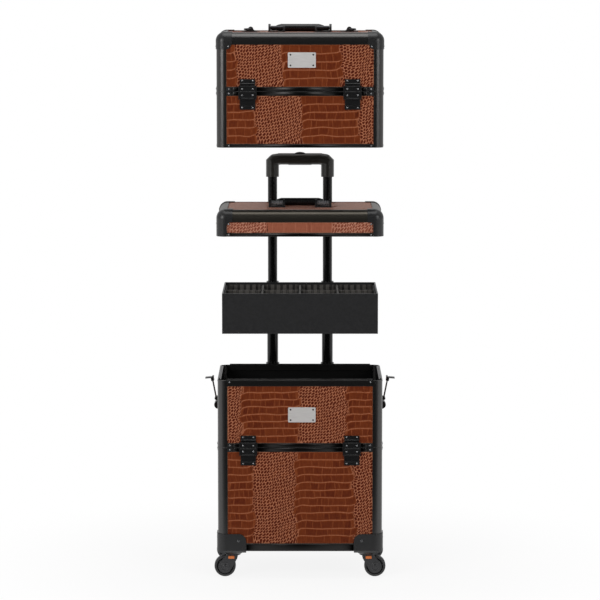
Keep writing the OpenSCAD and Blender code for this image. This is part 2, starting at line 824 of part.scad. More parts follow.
// Three knuckles in a row: the outer two belong to the lower leaf
module hinge_leaf(upper) {
    knuckle = hinge_l / 3;
    room = hinge_r + hinge_gap;
    leaf_z = upper ? 0.6 : -hinge_leaf_h;
    pad_z = upper ? seam_rail_h + 0.2 : -hinge_leaf_h;
    pad_h = hinge_leaf_h - seam_rail_h - 0.2;
    difference() {
        union() {
            difference() {
                translate([-hinge_l / 2, 0, leaf_z]) cube([hinge_l, 1.2, hinge_leaf_h - 0.6]);
                for (k = upper ? [-1, 1] : [0])
                    translate([k * knuckle - (knuckle + hinge_gap) / 2, -1, -room])
                        cube([knuckle + hinge_gap, 4, 2 * room]);
            }
            translate([-hinge_l / 2, -panel_out, pad_z]) cube([hinge_l, panel_out + 0.6, pad_h]);
            for (k = upper ? [0] : [-1, 1])
                translate([k * knuckle, hinge_out, 0]) rod_x(hinge_r, knuckle - hinge_gap);
        }
        translate([0, hinge_out, 0]) rod_x(hinge_pin_r + pin_clear, hinge_l + 2);
    }
}

// Lower box
module base_floor_panel() color(black) section(base_z) inner_floor(2, panel_t);

module base_wall_panels() color(croc) section(base_z)
    walls(rail_web + panel_gap, base_h - rail_web - panel_gap);

module base_frame() color(satin) section(base_z) {
    posts(0, base_h);
    rails(0, foot_rail_h, true, "none");
    rails(base_h - seam_rail_h, seam_rail_h, false, "tongue");
}

module caster_housings() color(black) section(base_z) at_corners() caster_housing();

module trolley_outer_tubes() color(black) {
    for (side = [-1, 1]) translate([side * tube_x, tube_y, 0]) {
        difference() {
            translate([0, 0, outer_low]) cylinder(d = outer_d, h = outer_top - outer_low);
            translate([0, 0, outer_low - 1])
                cylinder(r = outer_d / 2 - tube_wall, h = outer_top - outer_low + 2);
        }
        difference() {
            translate([0, 0, outer_top + 0.05]) cylinder(d = outer_d + 2, h = 6);
            translate([0, 0, outer_top - 1]) cylinder(r = outer_d / 2 - tube_wall, h = 9);
        }
    }
}

module trolley_brackets() color(black) {
    width = 2 * (tube_x + tube_bracket_side) + outer_d;
    for (z = [base_z + foot_rail_h + 1, base_z + base_h - seam_rail_h - tube_bracket_h - 6])
        difference() {
            union() {
                translate([-width / 2, y_mid + case_d / 2 - panel_out, z])
                    cube([width, panel_out + 5, tube_bracket_h]);
                for (side = [-1, 1]) translate([side * tube_x, tube_y, z]) {
                    cylinder(r = outer_d / 2 + tube_bracket_wall, h = tube_bracket_h);
                    translate([-outer_d / 2 - tube_bracket_wall, -tube_out + 4.9, 0])
                        cube([outer_d + 2 * tube_bracket_wall, tube_out - 4.9, tube_bracket_h]);
                }
            }
            for (side = [-1, 1]) translate([side * tube_x, tube_y, outer_low - 0.05])
                cylinder(r = outer_d / 2 + 0.05, h = base_h);
        }
}

module base_latch_plates() color(satin) section(base_z + base_h)
    for (side = [-1, 1]) front_latch_place(side * latch_x) latch_plate();

module base_latch_left() color(satin) section(base_z + base_h)
    front_latch_place(-latch_x) latch_lever();

module base_latch_right() color(satin) section(base_z + base_h)
    front_latch_place(latch_x) latch_lever();

// Ring
module ring_wall_panels() color(croc) section(ring_z)
    walls(rail_web + panel_gap, ring_h - rail_web - panel_gap);

module ring_frame() color(satin) section(ring_z) {
    posts(0, ring_h);
    rails(0, seam_rail_h, true, "groove");
    rails(ring_h - rim_rail_h, rim_rail_h, false, "tongue");
}

module ring_latch_keepers() color(satin) section(ring_z)
    for (side = [-1, 1]) front_latch_place(side * latch_x) keeper();

module tray_ledges() color(black) section(ring_z)
    on_walls() translate([-$wall / 2 + edge_r + 4, panel_in, ring_h - tray_recess - tray_h - seam_gap - 8])
        cube([$wall - 2 * edge_r - 8, ledge_w, 8]);

module ring_plate() color(silver) section(ring_z)
    translate([plate_x - plate_w / 2, -case_d / 2 + panel_out - plate_t, ring_h - ring_plate_drop - plate_h / 2])
        cube([plate_w, plate_t, plate_h]);

module side_latch_bases() color(satin) section(ring_z) on_left_right() side_latch_base();

module side_latch_left() color(satin) section(ring_z)
    rotate(270) translate([0, -case_w / 2, 0]) side_latch_arm();

module side_latch_right() color(satin) section(ring_z)
    rotate(90) translate([0, -case_w / 2, 0]) side_latch_arm();

// Tray
module tray_box() color(black) section(tray_z) difference() {
    translate([-tray_w / 2, -tray_d / 2, 0]) cube([tray_w, tray_d, tray_h]);
    translate([-tray_w / 2 + tray_t, -tray_d / 2 + tray_t, tray_t])
        cube([tray_w - 2 * tray_t, tray_d - 2 * tray_t, tray_h]);
}

module tray_liners() color(satin) section(tray_z + tray_t)
    for (turn = [0:3]) {
        long = turn % 2 == 0;
        rotate(turn * 90) translate([0, -(long ? tray_d : tray_w) / 2 + tray_t, 0])
            liner(long ? tray_w - 2 * tray_t : tray_d - 2 * tray_t - 2 * liner_t - 2 * rib_h,
                long ? 4 * ribs_long - 2 : 2 * ribs_short - 2,
                long ? rib_pitch_x : rib_pitch_y);
    }

module tray_long_divider() color(satin) section(tray_z + tray_t) linear_extrude(divider_h) {
    half = 2 * cell_w - divider_clear;
    translate([-half, -divider_t / 2]) square([2 * half, divider_t]);
    for (side = [0, 1]) mirror([0, side])
        translate([0, divider_t / 2 - 0.01]) ribs(4 * ribs_long - 2, rib_pitch_x, rib_h / 2);
}

module tray_cross_dividers() color(satin) section(tray_z + tray_t)
    for (k = [-1:1], side = [0, 1]) mirror([0, side, 0]) translate([k * cell_w, 0, 0])
        rotate(90) linear_extrude(divider_h) {
            low = divider_t / 2 + divider_clear;
            translate([low, -divider_t / 2]) square([cell_d - divider_clear - low, divider_t]);
            for (face = [0, 1]) mirror([0, face]) translate([cell_d / 2, divider_t / 2 - 0.01])
                ribs(ribs_short - 2, rib_pitch_y, rib_h / 2);
        }

// Loose lid
module lid_top_panel() color(croc) section(lid_z) top_board(lid_h);

module lid_side_panels() color(croc) section(lid_z) walls(rail_web + panel_gap, lid_h - edge_r);

module lid_frame() color(satin) section(lid_z) {
    top_rails(lid_h);
    rails(0, skirt_rail_h, true, "groove");
}

module lid_corner_caps() color(black) section(lid_z) at_corners() corner_cap(lid_h, lid_h, 4);

module lid_handle_brackets() color(black) section(lid_z) handle_place(lid_h - panel_out)
    left_and_right(handle_span / 2) handle_bracket();

module lid_handle_grip() color(black) section(lid_z)
    handle_place(lid_h - panel_out + handle_pivot_h) handle_grip();

module lid_handle_arms() color(silver) section(lid_z)
    handle_place(lid_h - panel_out + handle_pivot_h) {
        handle_arm();
        mirror([1, 0, 0]) handle_arm();
    }

// Top case, below its seam
module top_case_floor_panel() color(black) section(top_z) inner_floor(0.5, panel_t);

module top_case_wall_panels() color(croc) section(top_z)
    walls(rail_web + panel_gap, top_case_h - rail_web - panel_gap);

module top_case_frame() color(satin) section(top_z) {
    posts(0, top_case_h);
    rails(0, skirt_rail_h, true, "groove");
    rails(top_case_h - seam_rail_h, seam_rail_h, false, "none");
}

module top_case_latch_plates() color(satin) section(top_z + top_case_h)
    for (side = [-1, 1]) front_latch_place(side * latch_x) latch_plate();

module top_case_hinge_leaves() color(satin) hinge_place() {
    hinge_leaf(false);
    translate([0, hinge_out, 0]) rod_x(hinge_pin_r, hinge_l);
}

module top_latch_left() color(satin) section(top_z + top_case_h)
    front_latch_place(-latch_x) latch_lever();

module top_latch_right() color(satin) section(top_z + top_case_h)
    front_latch_place(latch_x) latch_lever();

// Top case, above its seam
module top_lid_panel() color(croc) section(top_lid_z) top_board(top_lid_h);

module top_lid_side_panels() color(croc) section(top_lid_z)
    walls(rail_web + panel_gap, top_lid_h - edge_r);

module top_lid_frame() color(satin) section(top_lid_z) {
    posts(0, top_lid_h - edge_r - 1);
    rails(0, seam_rail_h, true, "none");
    top_rails(top_lid_h);
}

module top_lid_corner_caps() color(black) section(top_lid_z)
    at_corners() corner_cap(top_lid_h, cap_drop, cap_ear);

module top_lid_latch_keepers() color(satin) section(top_lid_z)
    for (side = [-1, 1]) front_latch_place(side * latch_x) keeper();

module top_lid_hinge_leaves() color(satin) hinge_place() hinge_leaf(true);

module top_lid_plate() color(silver) section(top_lid_z)
    translate([plate_x - plate_w / 2, -case_d / 2 + panel_out - plate_t, top_lid_h - plate_drop - plate_h / 2])
        cube([plate_w, plate_t, plate_h]);

module top_handle_brackets() color(black) section(top_lid_z) handle_place(top_lid_h - panel_out)
    left_and_right(handle_span / 2) handle_bracket();

module top_handle_grip() color(black) section(top_lid_z)
    handle_place(top_lid_h - panel_out + handle_pivot_h) handle_grip();

module top_handle_arms() color(satin) section(top_lid_z)
    handle_place(top_lid_h - panel_out + handle_pivot_h) {
        handle_arm();
        mirror([1, 0, 0]) handle_arm();
    }

module strap_saddles() color(black) section(top_lid_z + top_lid_h - panel_out)
    for (side = [-1, 1]) translate([side * strap_x, 0, 0]) strap_saddle();

module strap_ring_left() color(silver) section(top_lid_z + top_lid_h - panel_out)
    translate([-strap_x, 0, 0]) strap_ring();

module strap_ring_right() color(silver) section(top_lid_z + top_lid_h - panel_out)
    translate([strap_x, 0, 0]) rotate(180) strap_ring();

// Telescopic handle
module stage(low, high, d, bore) {
    for (side = [-1, 1]) translate([side * tube_x, tube_y, low]) difference() {
        cylinder(d = d, h = high - low);
        translate([0, 0, -1]) cylinder(d = bore, h = high - low + 2);
    }
}

module trolley_middle_tubes() color(black) {
    stage(middle_z, middle_top, middle_d, middle_d - 2 * tube_wall);
    stage(middle_top + 0.05, middle_top + 6, outer_d, middle_d - 2 * tube_wall);
}

module trolley_inner_tubes() color(black)
    stage(inner_z, socket_z + socket_h - 14, inner_d, inner_d - 2 * tube_wall);

module trolley_grip() color(black) translate([0, tube_y, 0]) difference() {
    bar_z = grip_top - grip_r;
    union() {
        translate([0, 0, bar_z]) rod_x(grip_r, 2 * (tube_x - grip_bend) + 10);
        translate([0, 0, bar_z - 1.8]) rod_x(grip_r - 1, grip_hold_l);
        for (side = [-1, 1]) {
            translate([side * tube_x, 0, socket_z]) cylinder(r = socket_r, h = socket_h - 12);
            hull() {
                translate([side * tube_x, 0, socket_z + socket_h - 13])
                    cylinder(r = socket_r, h = 7, $fn = 28);
                translate([side * (tube_x - 4), 0, bar_z - 2]) sphere(grip_r, $fn = 28);
                translate([side * (tube_x - grip_bend), 0, bar_z]) sphere(grip_r, $fn = 28);
            }
        }
    }
    for (side = [-1, 1]) translate([side * tube_x, 0, socket_z - 1])
        cylinder(r = inner_d / 2 + 0.05, h = socket_h - 13 + 0.05);
    translate([-button_w / 2 - button_clear, -button_d / 2 - button_clear, grip_top - button_pocket])
        cube([button_w + 2 * button_clear, button_d + 2 * button_clear, 2 * button_pocket]);
}

module trolley_button() color(black) translate([0, tube_y, grip_top]) intersection() {
    translate([-button_w / 2, -button_d / 2, -6]) cube([button_w, button_d, 6 + button_out]);
    translate([0, 0, button_out - button_curve]) rod_y(button_curve, 2 * button_d);
}

// Casters
module caster_fork_front_left() color(black) caster_place(-1, -1) {
    fork();
    fork_tab();
}

module caster_fork_front_right() color(black) caster_place(1, -1) {
    fork();
    fork_tab();
}

module caster_fork_rear_left() color(black) caster_place(-1, 1) {
    fork();
    fork_tab();
}

module caster_fork_rear_right() color(black) caster_place(1, 1) {
    fork();
    fork_tab();
}

module caster_wheel_front_left() caster_place(-1, -1) wheel();

module caster_wheel_front_right() caster_place(1, -1) wheel();

module caster_wheel_rear_left() caster_place(-1, 1) wheel();

module caster_wheel_rear_right() caster_place(1, 1) wheel();
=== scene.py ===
import math
import random

import bmesh
import bpy
from mathutils import Matrix, Vector, noise


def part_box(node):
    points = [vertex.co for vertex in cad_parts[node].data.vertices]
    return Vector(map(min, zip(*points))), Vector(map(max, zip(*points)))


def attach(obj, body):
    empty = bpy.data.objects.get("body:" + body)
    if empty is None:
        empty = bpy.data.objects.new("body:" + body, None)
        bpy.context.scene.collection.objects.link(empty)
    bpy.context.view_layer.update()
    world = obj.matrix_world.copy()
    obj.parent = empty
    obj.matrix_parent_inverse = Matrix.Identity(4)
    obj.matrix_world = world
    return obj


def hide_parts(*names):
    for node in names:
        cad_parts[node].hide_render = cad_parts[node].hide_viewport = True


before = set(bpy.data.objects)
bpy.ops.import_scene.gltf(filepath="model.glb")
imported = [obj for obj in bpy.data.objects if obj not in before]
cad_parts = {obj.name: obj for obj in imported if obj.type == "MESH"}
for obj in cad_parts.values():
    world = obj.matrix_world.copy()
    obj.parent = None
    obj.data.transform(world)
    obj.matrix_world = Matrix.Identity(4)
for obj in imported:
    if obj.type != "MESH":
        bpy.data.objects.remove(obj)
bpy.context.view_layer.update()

# Lower box, covered walls: four boards wrapped in a brown leatherette that was pressed between
# rollers, so that bands of broad belly scales stand beside bands of small round ones. The boards
# slide into the channels of the frame, and their inner side is lined in black.
MM = 0.001
CASE_W, CASE_D, CASE_Y = 360, 245, -16
POST_LEG, EDGE_R, BOARD_IN, BOARD_T = 21.5, 18, 1.7, 4
SEAM_RAIL, SEAM_GAP, FOOT_RAIL = 9.5, 0.3, 17
BOARD_TONE, SCALES_OUT, SKIN_ROUGH, SKIN_RELIEF = 0.22, 0.03, 0.46, 0.00010


def seen(red, green, blue):
    """A colour as the eye reads it, from 0 to 255, in the light values that a shader takes"""
    light = [((c / 255 + 0.055) / 1.055) ** 2.4 if c > 10 else c / 3295 for c in (red, green, blue)]
    return (*light, 1)


def bottom(node):
    """How high a solid begins, in mm"""
    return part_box(node)[0].z / MM


def top(node):
    """How high a solid ends, in mm"""
    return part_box(node)[1].z / MM


def piece(name, shape, body, slot, *finishes, stands_for=()):
    """Makes an object of a finished shape, and hangs it on the body that carries it"""
    mesh = bpy.data.meshes.new(name)
    shape.to_mesh(mesh)
    shape.free()
    for finish in finishes:
        mesh.materials.append(finish)
    made = bpy.data.objects.new(name, mesh)
    bpy.context.scene.collection.objects.link(made)
    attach(made, body)
    if stands_for:
        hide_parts(*stands_for)


def leatherette(name, crease, middle, deep):
    """Pressed leatherette: pale in the creases, darker as a scale rises, with a fine upright wrinkle"""
    material = bpy.data.materials.new(name)
    material.use_nodes = True
    nodes, links = material.node_tree.nodes, material.node_tree.links
    skin = nodes["Principled BSDF"]
    skin.inputs["Specular IOR Level"].default_value = 0.14
    skin.inputs["Sheen Weight"].default_value = 0.25
    skin.inputs["Sheen Roughness"].default_value = 0.4
    skin.inputs["Sheen Tint"].default_value = (1, 0.72, 0.6, 1)
    place = nodes.new("ShaderNodeTexCoord")
    upright = nodes.new("ShaderNodeMapping")
    upright.inputs["Scale"].default_value = (420, 420, 90)
    links.new(place.outputs["Object"], upright.inputs["Vector"])
    wrinkle = nodes.new("ShaderNodeTexNoise")
    wrinkle.inputs["Scale"].default_value = 1
    wrinkle.inputs["Detail"].default_value = 4
    links.new(upright.outputs[0], wrinkle.inputs["Vector"])
    rise = nodes.new("ShaderNodeAttribute")
    rise.attribute_name = "rise"
    tone = nodes.new("ShaderNodeMath")
    tone.operation = "MULTIPLY_ADD"
    tone.inputs[1].default_value = 0.4
    links.new(wrinkle.outputs["Fac"], tone.inputs[0])
    links.new(rise.outputs["Fac"], tone.inputs[2])
    dye = nodes.new("ShaderNodeValToRGB")
    dye.color_ramp.elements[0].position, dye.color_ramp.elements[0].color = 0.18, crease
    dye.color_ramp.elements[1].position, dye.color_ramp.elements[1].color = 0.98, deep
    dye.color_ramp.elements.new(0.66).color = middle
    links.new(tone.outputs[0], dye.inputs["Fac"])
    links.new(dye.outputs["Color"], skin.inputs["Base Color"])
    gloss = nodes.new("ShaderNodeMapRange")
    gloss.inputs["To Min"].default_value = SKIN_ROUGH - 0.08
    gloss.inputs["To Max"].default_value = SKIN_ROUGH + 0.08
    links.new(wrinkle.outputs["Fac"], gloss.inputs["Value"])
    links.new(gloss.outputs[0], skin.inputs["Roughness"])
    press = nodes.new("ShaderNodeBump")
    press.inputs["Strength"].default_value = 0.5
    press.inputs["Distance"].default_value = SKIN_RELIEF
    links.new(wrinkle.outputs["Fac"], press.inputs["Height"])
    links.new(press.outputs[0], skin.inputs["Normal"])
    return material


def surface(name, colour, other, rough, grain, depth=0.0, edge=0.0, stretch=(1, 1, 1), **sockets):
    """A finish whose colour and gloss wander with its grain. Edge rounds the light at sharp edges"""
    material = bpy.data.materials.new(name)
    material.use_nodes = True
    nodes, links = material.node_tree.nodes, material.node_tree.links
    shader = nodes["Principled BSDF"]
    for socket, value in sockets.items():
        shader.inputs[socket.replace("_", " ")].default_value = value
    place = nodes.new("ShaderNodeTexCoord")
    drawn = nodes.new("ShaderNodeMapping")
    drawn.inputs["Scale"].default_value = stretch
    links.new(place.outputs["Object"], drawn.inputs["Vector"])
    speck = nodes.new("ShaderNodeTexNoise")
    speck.inputs["Scale"].default_value = grain
    speck.inputs["Detail"].default_value = 4
    links.new(drawn.outputs[0], speck.inputs["Vector"])
    dye = nodes.new("ShaderNodeValToRGB")
    dye.color_ramp.elements[0].position, dye.color_ramp.elements[0].color = 0.36, colour
    dye.color_ramp.elements[1].position, dye.color_ramp.elements[1].color = 0.64, other
    links.new(speck.outputs["Fac"], dye.inputs["Fac"])
    links.new(dye.outputs["Color"], shader.inputs["Base Color"])
    gloss = nodes.new("ShaderNodeMapRange")
    gloss.inputs["From Min"].default_value = 0.3
    gloss.inputs["From Max"].default_value = 0.7
    gloss.inputs["To Min"].default_value = rough - 0.05
    gloss.inputs["To Max"].default_value = rough + 0.05
    links.new(speck.outputs["Fac"], gloss.inputs["Value"])
    links.new(gloss.outputs[0], shader.inputs["Roughness"])
    normal = None
    if edge:
        soft = nodes.new("ShaderNodeBevel")
        soft.samples = 4
        soft.inputs["Radius"].default_value = edge
        normal = soft.outputs[0]
    if depth:
        press = nodes.new("ShaderNodeBump")
        press.inputs["Strength"].default_value = 0.6
        press.inputs["Distance"].default_value = depth
        links.new(speck.outputs["Fac"], press.inputs["Height"])
        if normal:
            links.new(normal, press.inputs["Normal"])
        normal = press.outputs[0]
    if normal:
        links.new(normal, shader.inputs["Normal"])
    return material


def dress(finish, *nodes):
    """Gives a finish to solids whose shape is already right"""
    for node in nodes:
        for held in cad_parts[node].material_slots:
            held.material = finish


def join_in(shape, part, place):
    """Sets a part, drawn in mm, into a shape"""
    part.transform(place)
    held = bpy.data.meshes.new("part")
    part.to_mesh(held)
    part.free()
    shape.from_mesh(held)
    bpy.data.meshes.remove(held)


BELLY_ROW, BELLY_STEP, BELLY_RISE = 16.8, 5, 0.25
ROW_STRAY, ROW_END_R, FIRST_JOINS, NEXT_JOINS = 5, 3.4, (0, 3), (1, 4)


def belly_rows(patch, start, end, width, height, chance):
    """Rows of broad scales, each some steps long. Beside small scales a row has a rounded end"""
    rows = max(1, round(height / BELLY_ROW))
    for row in range(rows):
        free = start > 1 - width / 2, end < width / 2 - 1
        left, right = (x + loose * chance.uniform(-ROW_STRAY, ROW_STRAY)
            for x, loose in zip((start, end), free))
        middle = Matrix.Translation(((left + right) / 2, (row + 0.5) * height / rows, 0))
        strip = bmesh.ops.create_grid(patch, x_segments=max(4, round((right - left) / BELLY_STEP)),
            y_segments=1, size=1,
            matrix=middle @ Matrix.Diagonal(((right - left) / 2, height / rows / 2, 1, 1)))["verts"]
        ribs = sorted({e for v in strip for e in v.link_edges
            if abs(e.verts[0].co.x - e.verts[1].co.x) < 0.1}, key=lambda e: e.verts[0].co.x)
        ends = [v for rib, loose in zip((ribs[0], ribs[-1]), free) if loose for v in rib.verts]
        joined, kept = [], chance.randint(*FIRST_JOINS)
        for rib in ribs[1:-1]:
            kept -= 1
            if kept >= 0:
                joined.append(rib)
            else:
                kept = chance.randint(*NEXT_JOINS)
        bmesh.ops.dissolve_edges(patch, edges=joined, use_verts=False)
        bmesh.ops.bevel(patch, geom=ends, offset=ROW_END_R, offset_type="OFFSET", segments=3,
            profile=0.5, affect="VERTICES", material=-1)
    return patch.faces[:]


SCALE, SCALE_STRAY, SCALE_CUT = 6.8, 1.5, 48
SCALE_LEAN, SCALE_STRETCH = (46, 56), (1.46, 0.74)
NET_SPARE, NET_MARGIN, NET_UNDER = 1.37, 14, 9


def round_scales(patch, start, end, width, height, chance):
    """A leaning net of small scales: the corners of a sheet of triangles, cut off to six sides"""
    reach = NET_SPARE * (math.hypot(end - start, height) / 2 + NET_MARGIN)
    count = math.ceil(2 * reach / SCALE)
    bmesh.ops.create_grid(patch, x_segments=count, y_segments=count, size=count * SCALE / 2)
    patch.transform(Matrix(((1, 0.5, 0, 0), (0, 0.87, 0, 0), (0, 0, 1, 0), (0, 0, 0, 1))))
    for v in patch.verts:
        v.co += Vector((chance.uniform(-SCALE_STRAY, SCALE_STRAY),
            chance.uniform(-SCALE_STRAY, SCALE_STRAY), 0))
    bmesh.ops.triangulate(patch, faces=patch.faces[:], quad_method="SHORT_EDGE")
    cut = bmesh.ops.bevel(patch, geom=[v for v in patch.verts if not v.is_boundary], offset=SCALE_CUT,
        offset_type="PERCENT", segments=1, profile=0.5, affect="VERTICES", material=-1)
    for face in cut["faces"]:
        face.material_index = 1
    lean = Matrix.Rotation(math.radians(chance.uniform(*SCALE_LEAN)), 4, "Z")
    patch.transform(Matrix.Translation(((start + end) / 2, height / 2, 0)) @ lean
        @ Matrix.Diagonal((*SCALE_STRETCH, 1, 1)))
    left, right = max(start - NET_UNDER, -width / 2), min(end + NET_UNDER, width / 2)
    for point, out in (((left, 0, 0), (-1, 0, 0)), ((right, 0, 0), (1, 0, 0)),
            ((0, 0, 0), (0, -1, 0)), ((0, height, 0), (0, 1, 0))):
        bmesh.ops.bisect_plane(patch, geom=patch.verts[:] + patch.edges[:] + patch.faces[:],
            plane_co=point, plane_no=out, clear_outer=True)
    scales = [f for f in patch.faces if f.material_index]
    for face in scales:
        face.material_index = 0
    return scales


def from_the_foot(scale):
    """Puts scales in one order, row by row, so that chance deals to the same ones in every run"""
    middle = scale.calc_center_median()
    return round(middle.y, 3), round(middle.x, 3)


EDGE_EASE, HOOK_EASE = 7, 20
DRIFT_X, DRIFT_Y, DRIFT_LENGTHS, DRIFT_SLICE = 4.0, 2.6, (34, 26), 3.7
WANDER, WANDER_LENGTH, WANDER_REACH, WANDER_SLICE = 7.0, 24, 16, 5.3
HOOK, HOOK_REACH, SMALL_BEND = 3.6, 7, 7
SINK_SLOPE, SINK_MOST = 0.2, 0.6
NET_TONE, BORDER_TONE, BORDER_REACH = 0.02, 0.08, 6


def bend_band(patch, rise, kind, start, end, width, height, seed):
    """Lets a band wander, hooks the ends of its rows, and sinks the small scales that run under them"""
    for v in patch.verts:
        inside = max(0, min(v.co.x + width / 2, width / 2 - v.co.x, v.co.y, height - v.co.y))
        rim = min(1, inside / EDGE_EASE)
        drift = noise.noise_vector(Vector((v.co.x / DRIFT_LENGTHS[0], v.co.y / DRIFT_LENGTHS[1],
            seed * DRIFT_SLICE)))
        wander = noise.noise(Vector((0, v.co.y / WANDER_LENGTH, seed * WANDER_SLICE)))
        into, past = v.co.x - start, v.co.x - end
        border = min(abs(into), abs(past))
        hidden = max(-into, past)
        hook = (math.exp(-(min(0, past) / HOOK_REACH) ** 2)
            - math.exp(-(max(0, into) / HOOK_REACH) ** 2))
        v[rise] = BORDER_TONE * math.exp(-(border / BORDER_REACH) ** 2) if kind == "belly" else NET_TONE
        v.co.x += rim * (DRIFT_X * drift.x + WANDER * wander * math.exp(-(border / WANDER_REACH) ** 2))
        v.co.y += rim * DRIFT_Y * drift.y
        if kind == "belly":
            v.co.y += min(1, inside / HOOK_EASE) * HOOK * hook
        else:
            v.co.y += rim * SMALL_BEND * (2 * (v.co.x - start) / (end - start) - 1) ** 2
            v.co.z -= min(SINK_MOST, SINK_SLOPE * max(0, hidden))
    patch.normal_update()


def tint(scale, rise, tone):
    """Sets how dark the corners of a scale are: 0 is the pale of a crease"""
    for v in scale.verts:
        v[rise] = tone


CREASE, CREASE_DEEP, CREASE_TONE = 0.9, 0.45, 0.33
BELLY_STEPS = ((0.6, 0.16, 0.48, 1.2), (1.8, 0.10, 0.64, 2.2))
BELLY_TONE_STRAY = 0.06


def raise_belly(patch, rise, broad, chance):
    """Lifts broad scales out of their creases, then in steps of (inset, lift, tone, least room)"""
    bmesh.ops.inset_region(patch, faces=broad, thickness=CREASE, depth=CREASE_DEEP, use_boundary=True)
    for v in patch.verts:
        if v.is_boundary:
            v.co.z = -BELLY_RISE
    for scale in broad:
        tint(scale, rise, CREASE_TONE)
    for inset, lift, tone, room in BELLY_STEPS:
        wide = [f for f in broad if f.calc_area() > room * f.calc_perimeter()]
        bmesh.ops.inset_individual(patch, faces=wide, thickness=inset, depth=lift)
        for scale in wide:
            tint(scale, rise, tone + chance.uniform(-BELLY_TONE_STRAY, BELLY_TONE_STRAY))


SMALL_ROOM, SMALL_SLOPES, SMALL_LIFT, SMALL_TONE = 0.75, (0.28, 0.38, 0.52), 0.4, 0.50
DOME_INSET, DOME_LIFT, DOME_TONES = 0.32, 0.15, (0.68, 1.05)


def raise_small(patch, rise, small, chance):
    """Lifts small scales on slopes of three widths to a flat dome, each in a tone of its own"""
    roomy = [f for f in small if f.calc_area() > SMALL_ROOM * f.calc_perimeter()]
    for first, slope in enumerate(SMALL_SLOPES):
        bmesh.ops.inset_individual(patch, faces=roomy[first::len(SMALL_SLOPES)], thickness=slope,
            depth=SMALL_LIFT)
    for scale in roomy:
        tint(scale, rise, SMALL_TONE)
    bmesh.ops.inset_individual(patch, faces=roomy, thickness=DOME_INSET, depth=DOME_LIFT)
    for scale in roomy:
        tint(scale, rise, chance.uniform(*DOME_TONES))


def press_scales(sheet, place, width, height, bands, seed):
    """Presses scales into a face of width by height: X along it, Y up it and Z out of it, in mm"""
    chance = random.Random(seed)
    noise.seed_set(seed)
    for start, end, kind in bands:
        patch = bmesh.new()
        rise = patch.verts.layers.float.new("rise")
        lay, lift = (belly_rows, raise_belly) if kind == "belly" else (round_scales, raise_small)
        scales = sorted(lay(patch, start, end, width, height, chance), key=from_the_foot)
        bend_band(patch, rise, kind, start, end, width, height, seed)
        lift(patch, rise, scales, chance)
        # An inset can fold over in a sharp corner, so whatever faces inward is turned out again.
        bmesh.ops.triangulate(patch, faces=[f for f in patch.faces if len(f.verts) > 4])
        patch.normal_update()
        bmesh.ops.reverse_faces(patch, faces=[f for f in patch.faces if f.normal.z < 0])
        for f in patch.faces:
            f.smooth = True
        join_in(sheet, patch, place @ Matrix.Translation((0, 0, BELLY_RISE if kind == "belly" else 0)))


def wall_reach(turn):
    """From the middle of a wall to its posts, in mm"""
    return (CASE_W if turn % 2 == 0 else CASE_D) / 2 - POST_LEG


KINDS = ("belly", "small")


def across_front(first, *joins):
    """Bands from post to post on a face as wide as the front, which change kind at each join"""
    stops = (-wall_reach(0), *joins, wall_reach(0))
    start = KINDS.index(first)
    return [(stops[n], stops[n + 1], KINDS[(start + n) % 2]) for n in range(len(joins) + 1)]


FIRST_BAND, SMALL_BAND, BELLY_BAND, LEAST_BAND = (30, 70), 100, 126, 20


def repeat_bands(width, seed):
    """Bands in the order that the rollers left them, for a face that is cut from the same roll"""
    chance = random.Random(seed)
    bands, x, kind = [], -width / 2, chance.choice(KINDS)
    step = chance.uniform(*FIRST_BAND)
    while x < width / 2 - LEAST_BAND:
        end = min(width / 2, x + step)
        if width / 2 - end < LEAST_BAND:
            end = width / 2
        bands.append((x, end, kind))
        x, kind = end, "small" if kind == "belly" else "belly"
        step = SMALL_BAND if kind == "small" else BELLY_BAND
    return bands


def wall_place(turn):
    """Stands on the middle of a wall's foot: X along it, Y into the case, Z up, in mm"""
    cross = CASE_D if turn % 2 == 0 else CASE_W
    return (Matrix.Translation((0, CASE_Y * MM, 0)) @ Matrix.Rotation(turn * math.pi / 2, 4, "Z")
        @ Matrix.Translation((0, -cross / 2 * MM, 0)) @ Matrix.Scale(MM, 4))


brown_skin = leatherette("brown_leatherette", seen(178, 114, 82), seen(122, 55, 19), seen(84, 23, 0))


def covered_walls(name, body, node, open_low, open_high, front, seed, skin=brown_skin):
    """Four boards behind the frame, with scales pressed into what the frame leaves open"""
    sheet = bmesh.new()
    rise = sheet.verts.layers.float.new("rise")
    low, high = bottom(node), top(node)
    for turn in range(4):
        wall = CASE_W if turn % 2 == 0 else CASE_D
        place = wall_place(turn)
        board = bmesh.ops.create_cube(sheet, size=1, matrix=place
            @ Matrix.Translation((0, BOARD_IN + BOARD_T / 2, (low + high) / 2))
            @ Matrix.Diagonal((wall - 2 * EDGE_R, BOARD_T, high - low, 1)))["verts"]
        for v in board:
            v[rise] = BOARD_TONE
        facing = (place.to_3x3() @ Vector((0, -1, 0))).normalized()
        sheet.normal_update()
        for face in {f for v in board for f in v.link_faces}:
            face.material_index = 0 if face.normal.dot(facing) > 0.9 else 1
        width = 2 * wall_reach(turn)
        press_scales(sheet, place @ Matrix.Translation((0, BOARD_IN - SCALES_OUT, open_low))
            @ Matrix.Rotation(math.pi / 2, 4, "X"), width, open_high - open_low,
            front if turn == 0 else repeat_bands(width, seed + turn), seed + turn)
    piece(name, sheet, body, "croc_cover", skin, lining, stands_for=[node])


lining = surface("black_lining", seen(8, 8, 8), seen(13, 13, 13), 0.85, 900, 0.00012,
    Specular_IOR_Level=0.2)

base_low, seam = bottom("base_frame"), bottom("ring_frame")
covered_walls("base_cover", "base", "base_wall_panels", base_low + FOOT_RAIL,
    seam - SEAM_RAIL - SEAM_GAP, across_front("belly", -101, -9, 119), 11)
dress(lining, "base_floor_panel")

